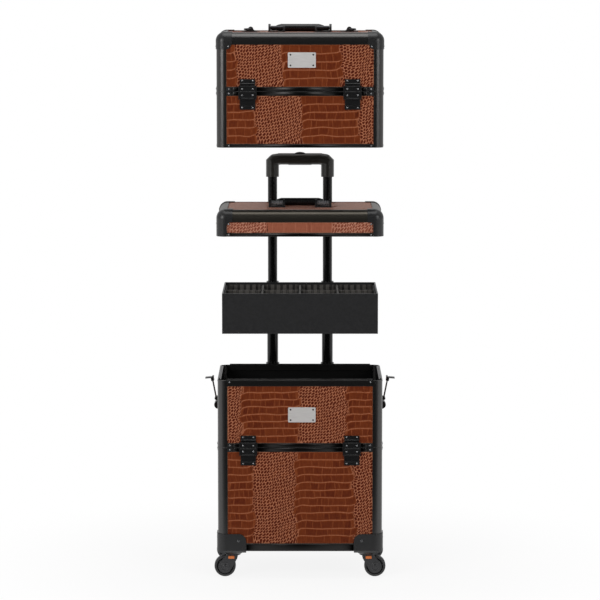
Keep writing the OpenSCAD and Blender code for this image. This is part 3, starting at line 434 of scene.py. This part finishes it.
# Lower box, frame: drawn aluminium posts and rails with a dark satin coat. The rails at the front
# and sides have crowned faces, and a black moulded plate with one rivet ties each rail of a seam to
# its post.
RIVET, TIE_W, TIE_H, TIE_T, TIE_EDGE = (1.9, 1.0), 11, 8.4, 0.7, 0.25
satin = surface("dark_satin_extrusion", seen(79, 78, 78), seen(87, 86, 85), 0.31, 1500, 0.00002, 0.0014,
    Metallic=1.0)
black_plate = surface("black_moulding", seen(24, 24, 25), seen(31, 31, 32), 0.42, 1300, 0.00004, 0.0005)
rivet_steel = surface("rivet_steel", seen(150, 150, 152), seen(176, 176, 178), 0.24, 600,
    Metallic=1.0)


def rivet(shape, place, radius, rise):
    """A domed head on the XY plane of its place"""
    head = bmesh.ops.create_uvsphere(shape, u_segments=10, v_segments=6, radius=1,
        matrix=place @ Matrix.Diagonal((radius, radius, rise, 1)))["verts"]
    for face in {f for v in head for f in v.link_faces}:
        face.material_index, face.smooth = 1, True


def outward(place, x, y, z):
    """A spot on a wall, turned so that its Z points out of the case"""
    return place @ Matrix.Translation((x, y, z)) @ Matrix.Rotation(math.pi / 2, 4, "X")


def corner_ties(name, body, heights):
    """Riveted plates at both ends of the rails whose middles stand at these heights"""
    shape = bmesh.new()
    for turn in range(4):
        place, reach = wall_place(turn), wall_reach(turn)
        for x in (-reach + TIE_W / 2, reach - TIE_W / 2):
            for z in heights:
                flat = bmesh.ops.create_cube(shape, size=1, matrix=outward(place, x, -TIE_T / 2, z)
                    @ Matrix.Diagonal((TIE_W, TIE_H, TIE_T, 1)))["verts"]
                rim = {e for v in flat for e in v.link_edges}
                bmesh.ops.bevel(shape, geom=list(rim), offset=TIE_EDGE * MM, offset_type="OFFSET",
                    segments=2, profile=0.5, affect="EDGES", material=-1)
                rivet(shape, outward(place, x, -TIE_T, z), *RIVET)
    piece(name, shape, body, "black_plastic", black_plate, rivet_steel)


CROWN_OUT, SEAM_CROWN, FOOT_CROWN = 0.7, 7.6, 13
TIE_STOP, HOUSING_STOP, LATCH_X, LATCH_BREAK = TIE_W + 0.6, 41, 113, 41


def rail_crowns(name, body, rails):
    """The crowned faces of front and side rails. Each rail has the height of its middle, how tall it
    is, how far it stops short of the post, and how wide a break each front latch needs"""
    shape = bmesh.new()
    for turn in (0, 1, 3):
        place, reach = wall_place(turn), wall_reach(turn)
        for z, tall, short, latch in rails:
            stops = [short - reach, reach - short]
            if latch and turn == 0:
                stops[1:1] = [side * LATCH_X + edge
                    for side in (-1, 1) for edge in (-latch / 2, latch / 2)]
            for start, end in zip(stops[::2], stops[1::2]):
                lying = outward(place, (start + end) / 2, 0, z)
                size = Matrix.Diagonal((end - start, tall / 2, CROWN_OUT, 1))
                bmesh.ops.create_cone(shape, cap_ends=True, segments=28, radius1=1, radius2=1, depth=1,
                    matrix=lying @ size @ Matrix.Rotation(math.pi / 2, 4, "Y"))
    for face in shape.faces:
        face.smooth = len(face.verts) == 4
    piece(name, shape, body, "satin_frame", crown_shaded_satin)


# The crowned faces wear a darker copy of the satin coat, painted shade that tones down the lamps'
# reflection on their curve.
crown_shaded_satin = surface("crowned_satin_painted_shade", seen(45, 44, 44), seen(51, 50, 49), 0.31, 1500, 0.00002,
    Metallic=1.0)
dress(satin, "base_frame")
under_seam = seam - SEAM_GAP - SEAM_RAIL / 2
corner_ties("base_ties", "base", [under_seam])
rail_crowns("base_rail_crowns", "base", [(under_seam, SEAM_CROWN, TIE_STOP, LATCH_BREAK),
    (base_low + FOOT_RAIL / 2, FOOT_CROWN, HOUSING_STOP, 0)])

# Caster housings: black moulded corners that wrap the foot of the lower box. One screw holds each
# wing of a housing to the board behind it.
SCREW, SCREW_IN, SCREW_UP, HOUSING_OUT = (3.0, 1.1), 23.5, 23, 2.25
shape = bmesh.new()
for turn in range(4):
    place, reach = wall_place(turn), wall_reach(turn) - SCREW_IN
    for x in (-reach, reach):
        rivet(shape, outward(place, x, -HOUSING_OUT, base_low + SCREW_UP), *SCREW)
screw_black = surface("blackened_screw", seen(96, 96, 98), seen(110, 110, 112), 0.24, 700,
    Metallic=1.0)
piece("housing_screws", shape, "base", "black_plastic", black_plate, screw_black)
moulded = surface("moulded_corner", seen(27, 27, 28), seen(34, 34, 35), 0.44, 1800, 0.00005, 0.0008)
dress(moulded, "caster_housings")

# Casters: a black swivel fork with an orange tab above a soft-tread wheel. The wheel turns on an
# axle whose capped ends show in the middle of the fork's cheeks.
tyre = surface("soft_tread", seen(48, 48, 49), seen(57, 57, 58), 0.55, 900, 0.00006)
tab_orange = surface("orange_tab", seen(226, 112, 48), seen(240, 140, 74), 0.38, 500, 0.00003, 0.0005)
fork_black = surface("fork_moulding", seen(42, 42, 44), seen(50, 50, 52), 0.38, 1500, 0.00004, 0.0008)
hub_grey = surface("wheel_hub", seen(52, 52, 54), seen(62, 62, 64), 0.40, 1200, 0.00003)
TURN_STEPS = 40


def turned(shape, outline, place, finish):
    """Turns an outline of (radius, height) points, in mm, round the Z axis of its place"""
    lathe = bmesh.new()
    points = [lathe.verts.new((radius, 0, height)) for radius, height in outline]
    for one, other in zip(points, points[1:]):
        lathe.edges.new((one, other))
    bmesh.ops.spin(lathe, geom=lathe.verts[:] + lathe.edges[:], cent=(0, 0, 0), axis=(0, 0, 1),
        angle=math.tau, steps=TURN_STEPS, use_merge=True)
    bmesh.ops.remove_doubles(lathe, verts=lathe.verts[:], dist=0.01)
    bmesh.ops.recalc_face_normals(lathe, faces=lathe.faces[:])
    for face in lathe.faces:
        face.material_index, face.smooth = finish, True
    join_in(shape, lathe, place)


def mirrored(half):
    """The whole outline of a piece that is the same at both ends"""
    return half + [(radius, -height) for radius, height in reversed(half)]


TYRE = mirrored([(17, 4.8), (17.6, 8.6), (18.4, 9.3), (21.4, 9.4), (22.8, 8.4), (23.4, 6.6), (23.5, 4)])
HUB = mirrored([(3.1, 9.0), (7.6, 9.0), (8.2, 8.4), (8.6, 6.2), (14.6, 6.2), (15.2, 4.9), (16.9, 4.7)])
AXLE_CAP = [(0, 1.9), (3.0, 1.8), (4.3, 1.1), (4.8, 0.35), (8.0, 0.35), (8.5, 0.9), (9.7, 0.9),
    (10.4, -0.3)]
SWIVEL_IN, CHEEK_OUT = 33, 13.5
TAB_OUT, TAB_UP, TAB_W, TAB_T, TAB_H, TAB_IN, TAB_EDGE = 4, 44.2, 13.6, 1.9, 6.9, 0.85, 0.9
for corner in ("front_left", "front_right", "rear_left", "rear_right"):
    across, along = (1 if "right" in corner else -1), (1 if "rear" in corner else -1)
    low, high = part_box("caster_wheel_" + corner)
    axle = (Matrix.Translation((low + high) / 2) @ Matrix.Rotation(math.pi / 2, 4, "X")
        @ Matrix.Scale(MM, 4))
    shape = bmesh.new()
    turned(shape, TYRE + TYRE[:1], axle, 0)
    turned(shape, HUB + HUB[:1], axle, 1)
    piece("wheel_" + corner, shape, "caster_wheel_" + corner, "wheel", tyre, hub_grey,
        stands_for=["caster_wheel_" + corner])
    dress(fork_black, "caster_fork_" + corner)
    shape = bmesh.new()
    low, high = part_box("caster_fork_" + corner)
    face_y = (high.y if along > 0 else low.y) / MM
    swivel_x = across * (CASE_W / 2 - SWIVEL_IN)
    tab = bmesh.ops.create_cube(shape, size=1, matrix=Matrix.Scale(MM, 4)
        @ Matrix.Translation((swivel_x + across * TAB_OUT, face_y - along * TAB_IN, TAB_UP))
        @ Matrix.Diagonal((TAB_W, TAB_T, TAB_H, 1)))["verts"]
    rim = list({e for v in tab for e in v.link_edges})
    bmesh.ops.bevel(shape, geom=rim, offset=TAB_EDGE * MM, offset_type="OFFSET", segments=3,
        profile=0.5, affect="EDGES", material=-1)
    for face in shape.faces:
        face.smooth = True
    piece("fork_tab_" + corner, shape, "caster_fork_" + corner, "black_plastic", tab_orange)
    shape = bmesh.new()
    for turn in (math.pi / 2, -math.pi / 2):
        turned(shape, AXLE_CAP, Matrix.Translation(axle.translation) @ Matrix.Rotation(turn, 4, "X")
            @ Matrix.Scale(MM, 4) @ Matrix.Translation((0, 0, CHEEK_OUT)), 0)
    piece("axle_caps_" + corner, shape, "caster_fork_" + corner, "black_plastic", fork_black)

# Front latches of the lower box: a keeper on the ring, a plate on the box and a lever between
# them, all pressed from steel and painted black. Pairs of rivets hold each one.
RIVET_X, LATCH_RIVET = 11.3, (2.1, 1.2)
KEEPER_ROWS, LEVER_ROWS, PLATE_ROWS = [(22.7, 1.5)], [(5.2, 6.6), (-8.0, 6.6)], [(-35, 1.5)]
latch_black = surface("painted_latch", seen(18, 18, 19), seen(24, 24, 25), 0.30, 1000, 0.0, 0.0008)


def latch_rivets(name, body, z, rows, sides=(-1, 1)):
    """Rivets of the latch pressings on one body, in rows of two: height above the seam, reach out"""
    shape = bmesh.new()
    for side in sides:
        for rise, out in rows:
            for x in (-RIVET_X, RIVET_X):
                rivet(shape, outward(wall_place(0), side * LATCH_X + x, -out, z + rise), *LATCH_RIVET)
    piece(name, shape, body, "latch_metal", black_plate, rivet_steel)


dress(latch_black, "base_latch_plates", "base_latch_left", "base_latch_right", "ring_latch_keepers")
latch_rivets("base_latch_plate_rivets", "base", seam, PLATE_ROWS)
latch_rivets("base_latch_left_rivets", "base_latch_left", seam, LEVER_ROWS, [-1])
latch_rivets("base_latch_right_rivets", "base_latch_right", seam, LEVER_ROWS, [1])
latch_rivets("ring_keeper_rivets", "ring", seam, KEEPER_ROWS)

# Ring: an open section that stands on the lower box, covered and framed in the same way, with a
# bare brushed plate on four black rivets and an inner ledge for the tray.
RIM_RAIL, RIM_RIVET_IN = 13, 5
ring_top, over_seam = top("ring_frame"), seam + SEAM_RAIL / 2
covered_walls("ring_cover", "ring", "ring_wall_panels", seam + SEAM_RAIL, ring_top - RIM_RAIL,
    across_front("small", -127, 0, 102), 23)
dress(satin, "ring_frame")
dress(black_plate, "tray_ledges")
corner_ties("ring_ties", "ring", [over_seam])


def wall_rivets(name, body, slot, z, inset, out):
    """One rivet near each end of every wall, at one height"""
    shape = bmesh.new()
    for turn in range(4):
        place, reach = wall_place(turn), wall_reach(turn) - inset
        for x in (-reach, reach):
            rivet(shape, outward(place, x, -out, z), *RIVET)
    piece(name, shape, body, slot, black_plate, rivet_steel)


wall_rivets("ring_rim_rivets", "ring", "satin_frame", ring_top - RIM_RAIL / 2, RIM_RIVET_IN, 0)
rail_crowns("ring_rail_crowns", "ring", [(over_seam, SEAM_CROWN, TIE_STOP, LATCH_BREAK)])
PLATE_RIVET, PLATE_RIVET_X, PLATE_RIVET_Z = (2.1, 0.9), 24.5, 11.5
PLATE_CORNER_R, PLATE_EDGE, PLATE_LIFT = 2.2, 0.5, 0.12
brushed = surface("bare_brushed_plate", seen(208, 205, 203), seen(222, 219, 217), 0.42, 60, 0.00002,
    0.0004, (1, 1, 40), Metallic=0.25)


def bare_plate(name, body, node):
    """A sheet metal plate with rounded corners, in the place that its solid holds"""
    low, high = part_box(node)
    shape = bmesh.new()
    middle = (low + high) / 2
    bmesh.ops.create_cube(shape, size=1, matrix=Matrix.Translation(middle)
        @ Matrix.Diagonal((*(high - low), 1)))
    through = [e for e in shape.edges if abs(e.verts[0].co.y - e.verts[1].co.y) > 0.5 * MM]
    bmesh.ops.bevel(shape, geom=through, offset=PLATE_CORNER_R * MM, offset_type="OFFSET", segments=4,
        profile=0.5, affect="EDGES", material=-1)
    face = [f for f in shape.faces if f.normal.y < -0.9]
    bmesh.ops.inset_region(shape, faces=face, thickness=PLATE_EDGE * MM, depth=PLATE_LIFT * MM)
    for x in (-PLATE_RIVET_X, PLATE_RIVET_X):
        for z in (-PLATE_RIVET_Z, PLATE_RIVET_Z):
            rivet(shape, Matrix.Translation((middle.x + x * MM, low.y, middle.z + z * MM))
                @ Matrix.Rotation(math.pi / 2, 4, "X") @ Matrix.Scale(MM, 4), *PLATE_RIVET)
    piece(name, shape, body, "bare_plate", brushed, black_plate, stands_for=[node])


bare_plate("ring_bare_plate", "ring", "ring_plate")

# Side latches of the ring: a plate with a rounded cover at its foot, and an arm that leans out from
# its pin to a thumb tab, all painted black.
dress(latch_black, "side_latch_bases", "side_latch_left", "side_latch_right")

# Tray: a smooth black box with ribbed foam liners. A long divider and three short ones on each side
# of it make eight cells.
GROOVE_REACH, GROOVE_DARK = 0.008, 4.5
tray_skin = surface("smooth_black_tray", seen(38, 38, 39), seen(43, 43, 44), 0.34, 260, 0.00002, 0.0006)
ribbed_foam = surface("ribbed_liner", seen(82, 79, 75), seen(100, 96, 91), 0.60, 900, 0.00010, 0.0006)


def paint_groove_shade(finish):
    """Paints shade into a finish's colour where ribs stand close on both sides, darkening the grooves
    """
    nodes, links = finish.node_tree.nodes, finish.node_tree.links
    colour = nodes["Principled BSDF"].inputs["Base Color"]
    groove_occlusion = nodes.new("ShaderNodeAmbientOcclusion")
    groove_occlusion.inputs["Distance"].default_value = GROOVE_REACH
    deepen = nodes.new("ShaderNodeMath")
    deepen.operation = "POWER"
    deepen.inputs[1].default_value = GROOVE_DARK
    links.new(groove_occlusion.outputs["AO"], deepen.inputs[0])
    shade = nodes.new("ShaderNodeVectorMath")
    shade.operation = "SCALE"
    links.new(colour.links[0].from_socket, shade.inputs[0])
    links.new(deepen.outputs[0], shade.inputs["Scale"])
    links.new(shade.outputs[0], colour)


# The liners get painted shade in their grooves, darker where the ribs stand close.
paint_groove_shade(ribbed_foam)
dress(tray_skin, "tray_box")
dress(ribbed_foam, "tray_liners", "tray_long_divider", "tray_cross_dividers")

# Loose lid: a shallow frame with a covered top board, narrow covered strips round its sides, and
# black ball corners pressed over the joints of its rails.
SKIRT_RAIL, SKIRT_CROWN, SKIRT_STOP, TOP_RAIL = 8, 6.2, 8, 26
CAP_RIVET_DOWN, CAP_RIVET_IN, CAP_OUT = 4, 4.4, 1.45
lid_low, lid_high = bottom("lid_frame"), top("lid_frame")


def covered_top(name, body, node, bands, seed, skin=brown_skin):
    """A flat board under the top rails, with scales pressed into what they leave open"""
    sheet = bmesh.new()
    rise = sheet.verts.layers.float.new("rise")
    low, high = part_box(node)
    bmesh.ops.create_cube(sheet, size=1, matrix=Matrix.Translation((low + high) / 2)
        @ Matrix.Diagonal((*(high - low), 1)))
    for v in sheet.verts:
        v[rise] = BOARD_TONE
    for face in sheet.faces:
        face.material_index = 0 if face.normal.z > 0.9 else 1
    front = (CASE_Y - CASE_D / 2 + POST_LEG) * MM
    press_scales(sheet, Matrix.Translation((0, front, high.z + SCALES_OUT * MM)) @ Matrix.Scale(MM, 4),
        CASE_W - 2 * POST_LEG, CASE_D - 2 * POST_LEG, bands, seed)
    piece(name, sheet, body, "croc_cover", skin, lining, stands_for=[node])


# The lid is covered in a lighter copy of the brown leatherette, a painted sheen for a lid seen from
# above.
lid_lit_skin = leatherette("lid_leatherette_painted_sheen", seen(192, 134, 110), seen(160, 94, 70), seen(132, 70, 50))
covered_walls("lid_cover", "lid", "lid_side_panels", lid_low + SKIRT_RAIL, lid_high - TOP_RAIL,
    across_front("small", -72, 74), 37, lid_lit_skin)
covered_top("lid_top_cover", "lid", "lid_top_panel", across_front("belly", -72, 74), 41, lid_lit_skin)
# The lid's frame wears a lighter, warmer copy of the satin coat, a painted reflection for a frame seen
# from above.
lid_lit_satin = surface("lid_satin_painted_reflection", seen(84, 80, 73), seen(93, 89, 82), 0.36, 1500, 0.00002,
    0.0014, Metallic=1.0)
cap_black = surface("ball_corner", seen(30, 30, 31), seen(37, 37, 38), 0.34, 1700, 0.00003, 0.0008)
dress(lid_lit_satin, "lid_frame")
dress(cap_black, "lid_corner_caps")
lid_skirt = lid_low + SKIRT_RAIL / 2
wall_rivets("lid_cap_rivets", "lid", "black_cap", lid_high - TOP_RAIL - CAP_RIVET_DOWN, CAP_RIVET_IN,
    CAP_OUT)
wall_rivets("lid_skirt_rivets", "lid", "satin_frame", lid_skirt, CAP_RIVET_IN, 0)
rail_crowns("lid_skirt_crowns", "lid", [(lid_skirt, SKIRT_CROWN, SKIRT_STOP, 0)])

# Lid handle: two black brackets, bare metal arms that swing in them, and a turned black grip that
# lies folded towards the back.
GRIP = mirrored([(0, 52.2), (4.6, 52.2), (5.4, 51.6), (6.7, 47.6), (8.1, 42.6), (8.4, 41), (8.4, 36)])
bright = surface("bright_arm", seen(144, 144, 146), seen(160, 160, 162), 0.28, 300, 0.0, 0.0005,
    Metallic=0.6)
grip_black = surface("soft_grip", seen(15, 15, 16), seen(21, 21, 22), 0.28, 800, 0.00005, 0.0008)
dress(black_plate, "lid_handle_brackets")


def turned_grip(name, body, node):
    """A round grip that tapers to a ferrule over the end of each arm"""
    low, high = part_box(node)
    shape = bmesh.new()
    turned(shape, GRIP, Matrix.Translation((low + high) / 2) @ Matrix.Rotation(math.pi / 2, 4, "Y")
        @ Matrix.Scale(MM, 4), 0)
    piece(name, shape, body, "black_plastic", grip_black, stands_for=[node])


turned_grip("lid_turned_grip", "lid_handle", "lid_handle_grip")
dress(bright, "lid_handle_arms")

# Top case, lower part: the same covered boards in a frame with a narrow foot rail. It carries the
# plates and levers of two front latches and one leaf of each rear hinge.
FOOT_RIVET_IN, FOOT_STOP = 5, 8.4
case_low, case_seam = bottom("top_case_frame"), bottom("top_lid_frame")
covered_walls("top_case_cover", "top_case", "top_case_wall_panels", case_low + SKIRT_RAIL,
    case_seam - SEAM_RAIL - SEAM_GAP, across_front("belly", -94, 4, 130), 53)
dress(satin, "top_case_frame")
dress(lining, "top_case_floor_panel")
dress(latch_black, "top_case_latch_plates", "top_latch_left", "top_latch_right",
    "top_case_hinge_leaves")
case_foot, under_lid = case_low + SKIRT_RAIL / 2, case_seam - SEAM_GAP - SEAM_RAIL / 2
corner_ties("top_case_ties", "top_case", [under_lid])
wall_rivets("top_case_foot_rivets", "top_case", "satin_frame", case_foot, FOOT_RIVET_IN, 0)
rail_crowns("top_case_rail_crowns", "top_case", [(under_lid, SEAM_CROWN, TIE_STOP, LATCH_BREAK),
    (case_foot, SKIRT_CROWN, FOOT_STOP, 0)])
latch_rivets("top_case_plate_rivets", "top_case", case_seam, PLATE_ROWS)
latch_rivets("top_latch_left_rivets", "top_latch_left", case_seam, LEVER_ROWS, [-1])
latch_rivets("top_latch_right_rivets", "top_latch_right", case_seam, LEVER_ROWS, [1])

# Top case, upper part: covered sides and top under rounded rails and ball corners, with a bare
# plate on the front. It swings back on two rear hinges.
case_top, over_case = top("top_lid_frame"), case_seam + SEAM_RAIL / 2
covered_walls("top_lid_cover", "top_lid", "top_lid_side_panels", case_seam + SEAM_RAIL,
    case_top - TOP_RAIL, across_front("belly", -138, -39, 91), 67)
covered_top("top_lid_top_cover", "top_lid", "top_lid_panel", across_front("small", -96, 30, 130), 71)
dress(satin, "top_lid_frame")
dress(cap_black, "top_lid_corner_caps")
dress(latch_black, "top_lid_latch_keepers", "top_lid_hinge_leaves")
corner_ties("top_lid_ties", "top_lid", [over_case])
rail_crowns("top_lid_rail_crowns", "top_lid", [(over_case, SEAM_CROWN, TIE_STOP, LATCH_BREAK)])
wall_rivets("top_cap_rivets", "top_lid", "black_cap", case_top - TOP_RAIL - CAP_RIVET_DOWN,
    CAP_RIVET_IN, CAP_OUT)
latch_rivets("top_keeper_rivets", "top_lid", case_seam, KEEPER_ROWS)
bare_plate("top_bare_plate", "top_lid", "top_lid_plate")

# Top handle and strap rings: a black folding handle between two brackets, and a wire ring on a
# saddle at each side of it for a shoulder strap.
dark_metal = surface("dark_metal", seen(54, 54, 56), seen(66, 66, 68), 0.30, 500, 0.0, 0.0005,
    Metallic=1.0)
dress(black_plate, "top_handle_brackets", "strap_saddles")
turned_grip("top_turned_grip", "top_handle", "top_handle_grip")
dress(dark_metal, "top_handle_arms", "strap_ring_left", "strap_ring_right")

# Telescopic handle: two outer tubes on brackets at the back of the lower box, two drawn stages
# inside them, and a moulded grip with a release button.
tube_black = surface("black_tube", seen(9, 9, 9), seen(13, 13, 13), 0.20, 300, Specular_IOR_Level=0.32)
handle_moulding = surface("handle_moulding", seen(40, 39, 36), seen(49, 48, 43), 0.32, 1500, 0.00004,
    0.0008)
dress(tube_black, "trolley_outer_tubes", "trolley_middle_tubes", "trolley_inner_tubes")
dress(black_plate, "trolley_brackets", "trolley_button")
dress(handle_moulding, "trolley_grip")

# Studio: a white floor that keeps the shadow of the case, a white surround that is dimmer behind
# the camera, two soft lamps in front and one above.
FLOOR_R, SHADOW_REACH, SHADOW_LEVELS = 14, (0.25, 0.9), (0.88, 1.0)
DUSK_REACH, DUSK_LEVELS, DUSK_SPREAD = (-0.75, 0.1), (0.04, 1.0), 0.6
ROOM_REACH, ROOM_LEVELS = (-0.9, 0.3), (0.03, 0.62)
CASE_MIDDLE, CAMERA_DOWN = (0, -0.1, 0.65), 6.78


def ease(nodes, reach, levels):
    """A node that eases from one level to the other while its value crosses its reach"""
    slope = nodes.new("ShaderNodeMapRange")
    slope.interpolation_type = "SMOOTHSTEP"
    slope.inputs["From Min"].default_value, slope.inputs["From Max"].default_value = reach
    slope.inputs["To Min"].default_value, slope.inputs["To Max"].default_value = levels
    return slope


floor_shape = bmesh.new()
bmesh.ops.create_circle(floor_shape, cap_ends=True, segments=96, radius=FLOOR_R)
floor_mesh = bpy.data.meshes.new("floor")
floor_shape.to_mesh(floor_mesh)
floor_shape.free()
floor = bpy.data.objects.new("floor", floor_mesh)
bpy.context.scene.collection.objects.link(floor)
paper = bpy.data.materials.new("white_floor")
paper.use_nodes = True
nodes, links = paper.node_tree.nodes, paper.node_tree.links
nodes.clear()
sheet_out = nodes.new("ShaderNodeOutputMaterial")
matte = nodes.new("ShaderNodeBsdfDiffuse")
matte.inputs["Color"].default_value = (0.9, 0.9, 0.9, 1)
glow = nodes.new("ShaderNodeEmission")
ray = nodes.new("ShaderNodeLightPath")
where = nodes.new("ShaderNodeTexCoord")
# The camera sees plain white, mixed with a little lit paper near the case for its shadow.
away = nodes.new("ShaderNodeVectorMath")
away.operation = "LENGTH"
links.new(where.outputs["Object"], away.inputs[0])
fade = ease(nodes, SHADOW_REACH, SHADOW_LEVELS)
links.new(away.outputs["Value"], fade.inputs["Value"])
lit = nodes.new("ShaderNodeMath")
lit.operation = "MULTIPLY"
links.new(ray.outputs["Is Camera Ray"], lit.inputs[0])
links.new(fade.outputs[0], lit.inputs[1])
white = nodes.new("ShaderNodeMixShader")
links.new(lit.outputs[0], white.inputs["Fac"])
links.new(matte.outputs[0], white.inputs[1])
links.new(glow.outputs[0], white.inputs[2])
# Reflections see a floor that is darker in front of the case and brighter to its sides.
spot = nodes.new("ShaderNodeSeparateXYZ")
links.new(where.outputs["Object"], spot.inputs[0])
dusk = ease(nodes, DUSK_REACH, DUSK_LEVELS)
aside = nodes.new("ShaderNodeMath")
aside.operation = "ABSOLUTE"
links.new(spot.outputs["X"], aside.inputs[0])
spread = nodes.new("ShaderNodeMath")
spread.operation = "MULTIPLY_ADD"
spread.inputs[1].default_value = DUSK_SPREAD
links.new(aside.outputs[0], spread.inputs[0])
links.new(spot.outputs["Y"], spread.inputs[2])
links.new(spread.outputs[0], dusk.inputs["Value"])
mirrored_floor = nodes.new("ShaderNodeEmission")
links.new(dusk.outputs[0], mirrored_floor.inputs["Strength"])
both = nodes.new("ShaderNodeMixShader")
links.new(ray.outputs["Is Glossy Ray"], both.inputs["Fac"])
links.new(white.outputs[0], both.inputs[1])
links.new(mirrored_floor.outputs[0], both.inputs[2])
links.new(both.outputs[0], sheet_out.inputs["Surface"])
floor_mesh.materials.append(paper)

world = bpy.data.worlds.new("studio")
bpy.context.scene.world = world
world.use_nodes = True
nodes, links = world.node_tree.nodes, world.node_tree.links
sky = nodes["Background"]
ray = nodes.new("ShaderNodeLightPath")
side = nodes.new("ShaderNodeTexCoord")
axes = nodes.new("ShaderNodeSeparateXYZ")
links.new(side.outputs["Generated"], axes.inputs[0])
room = ease(nodes, ROOM_REACH, ROOM_LEVELS)
links.new(axes.outputs["Y"], room.inputs["Value"])
level = nodes.new("ShaderNodeMath")
level.operation = "MAXIMUM"
links.new(ray.outputs["Is Camera Ray"], level.inputs[0])
links.new(room.outputs[0], level.inputs[1])
links.new(level.outputs[0], sky.inputs["Strength"])
sky.inputs["Color"].default_value = (1, 1, 1, 1)


def soft_lamp(name, place, aim, size, power):
    """A square lamp that points from its place at its aim"""
    light = bpy.data.lights.new(name, "AREA")
    light.size, light.energy = size, power
    lamp = bpy.data.objects.new(name, light)
    lamp.location = place
    lamp.rotation_euler = (Vector(aim) - Vector(place)).to_track_quat("-Z", "Y").to_euler()
    bpy.context.scene.collection.objects.link(lamp)


soft_lamp("left_softbox", (-2.2, -2.6, 1.7), CASE_MIDDLE, 1.5, 41)
soft_lamp("right_softbox", (2.2, -2.6, 1.7), CASE_MIDDLE, 1.5, 27)
soft_lamp("top_softbox", (0, -0.3, 3.0), (0, 0, 0.6), 1.6, 18)

lens = bpy.data.cameras.new("camera")
lens.lens, lens.sensor_width = 167.1, 36
camera = bpy.data.objects.new("camera", lens)
camera.location = (0, -6.1385, 1.330)
camera.rotation_euler = (math.radians(90 - CAMERA_DOWN), 0, 0)
bpy.context.scene.collection.objects.link(camera)
bpy.context.scene.camera = camera
bpy.context.scene.view_settings.view_transform = "Standard"
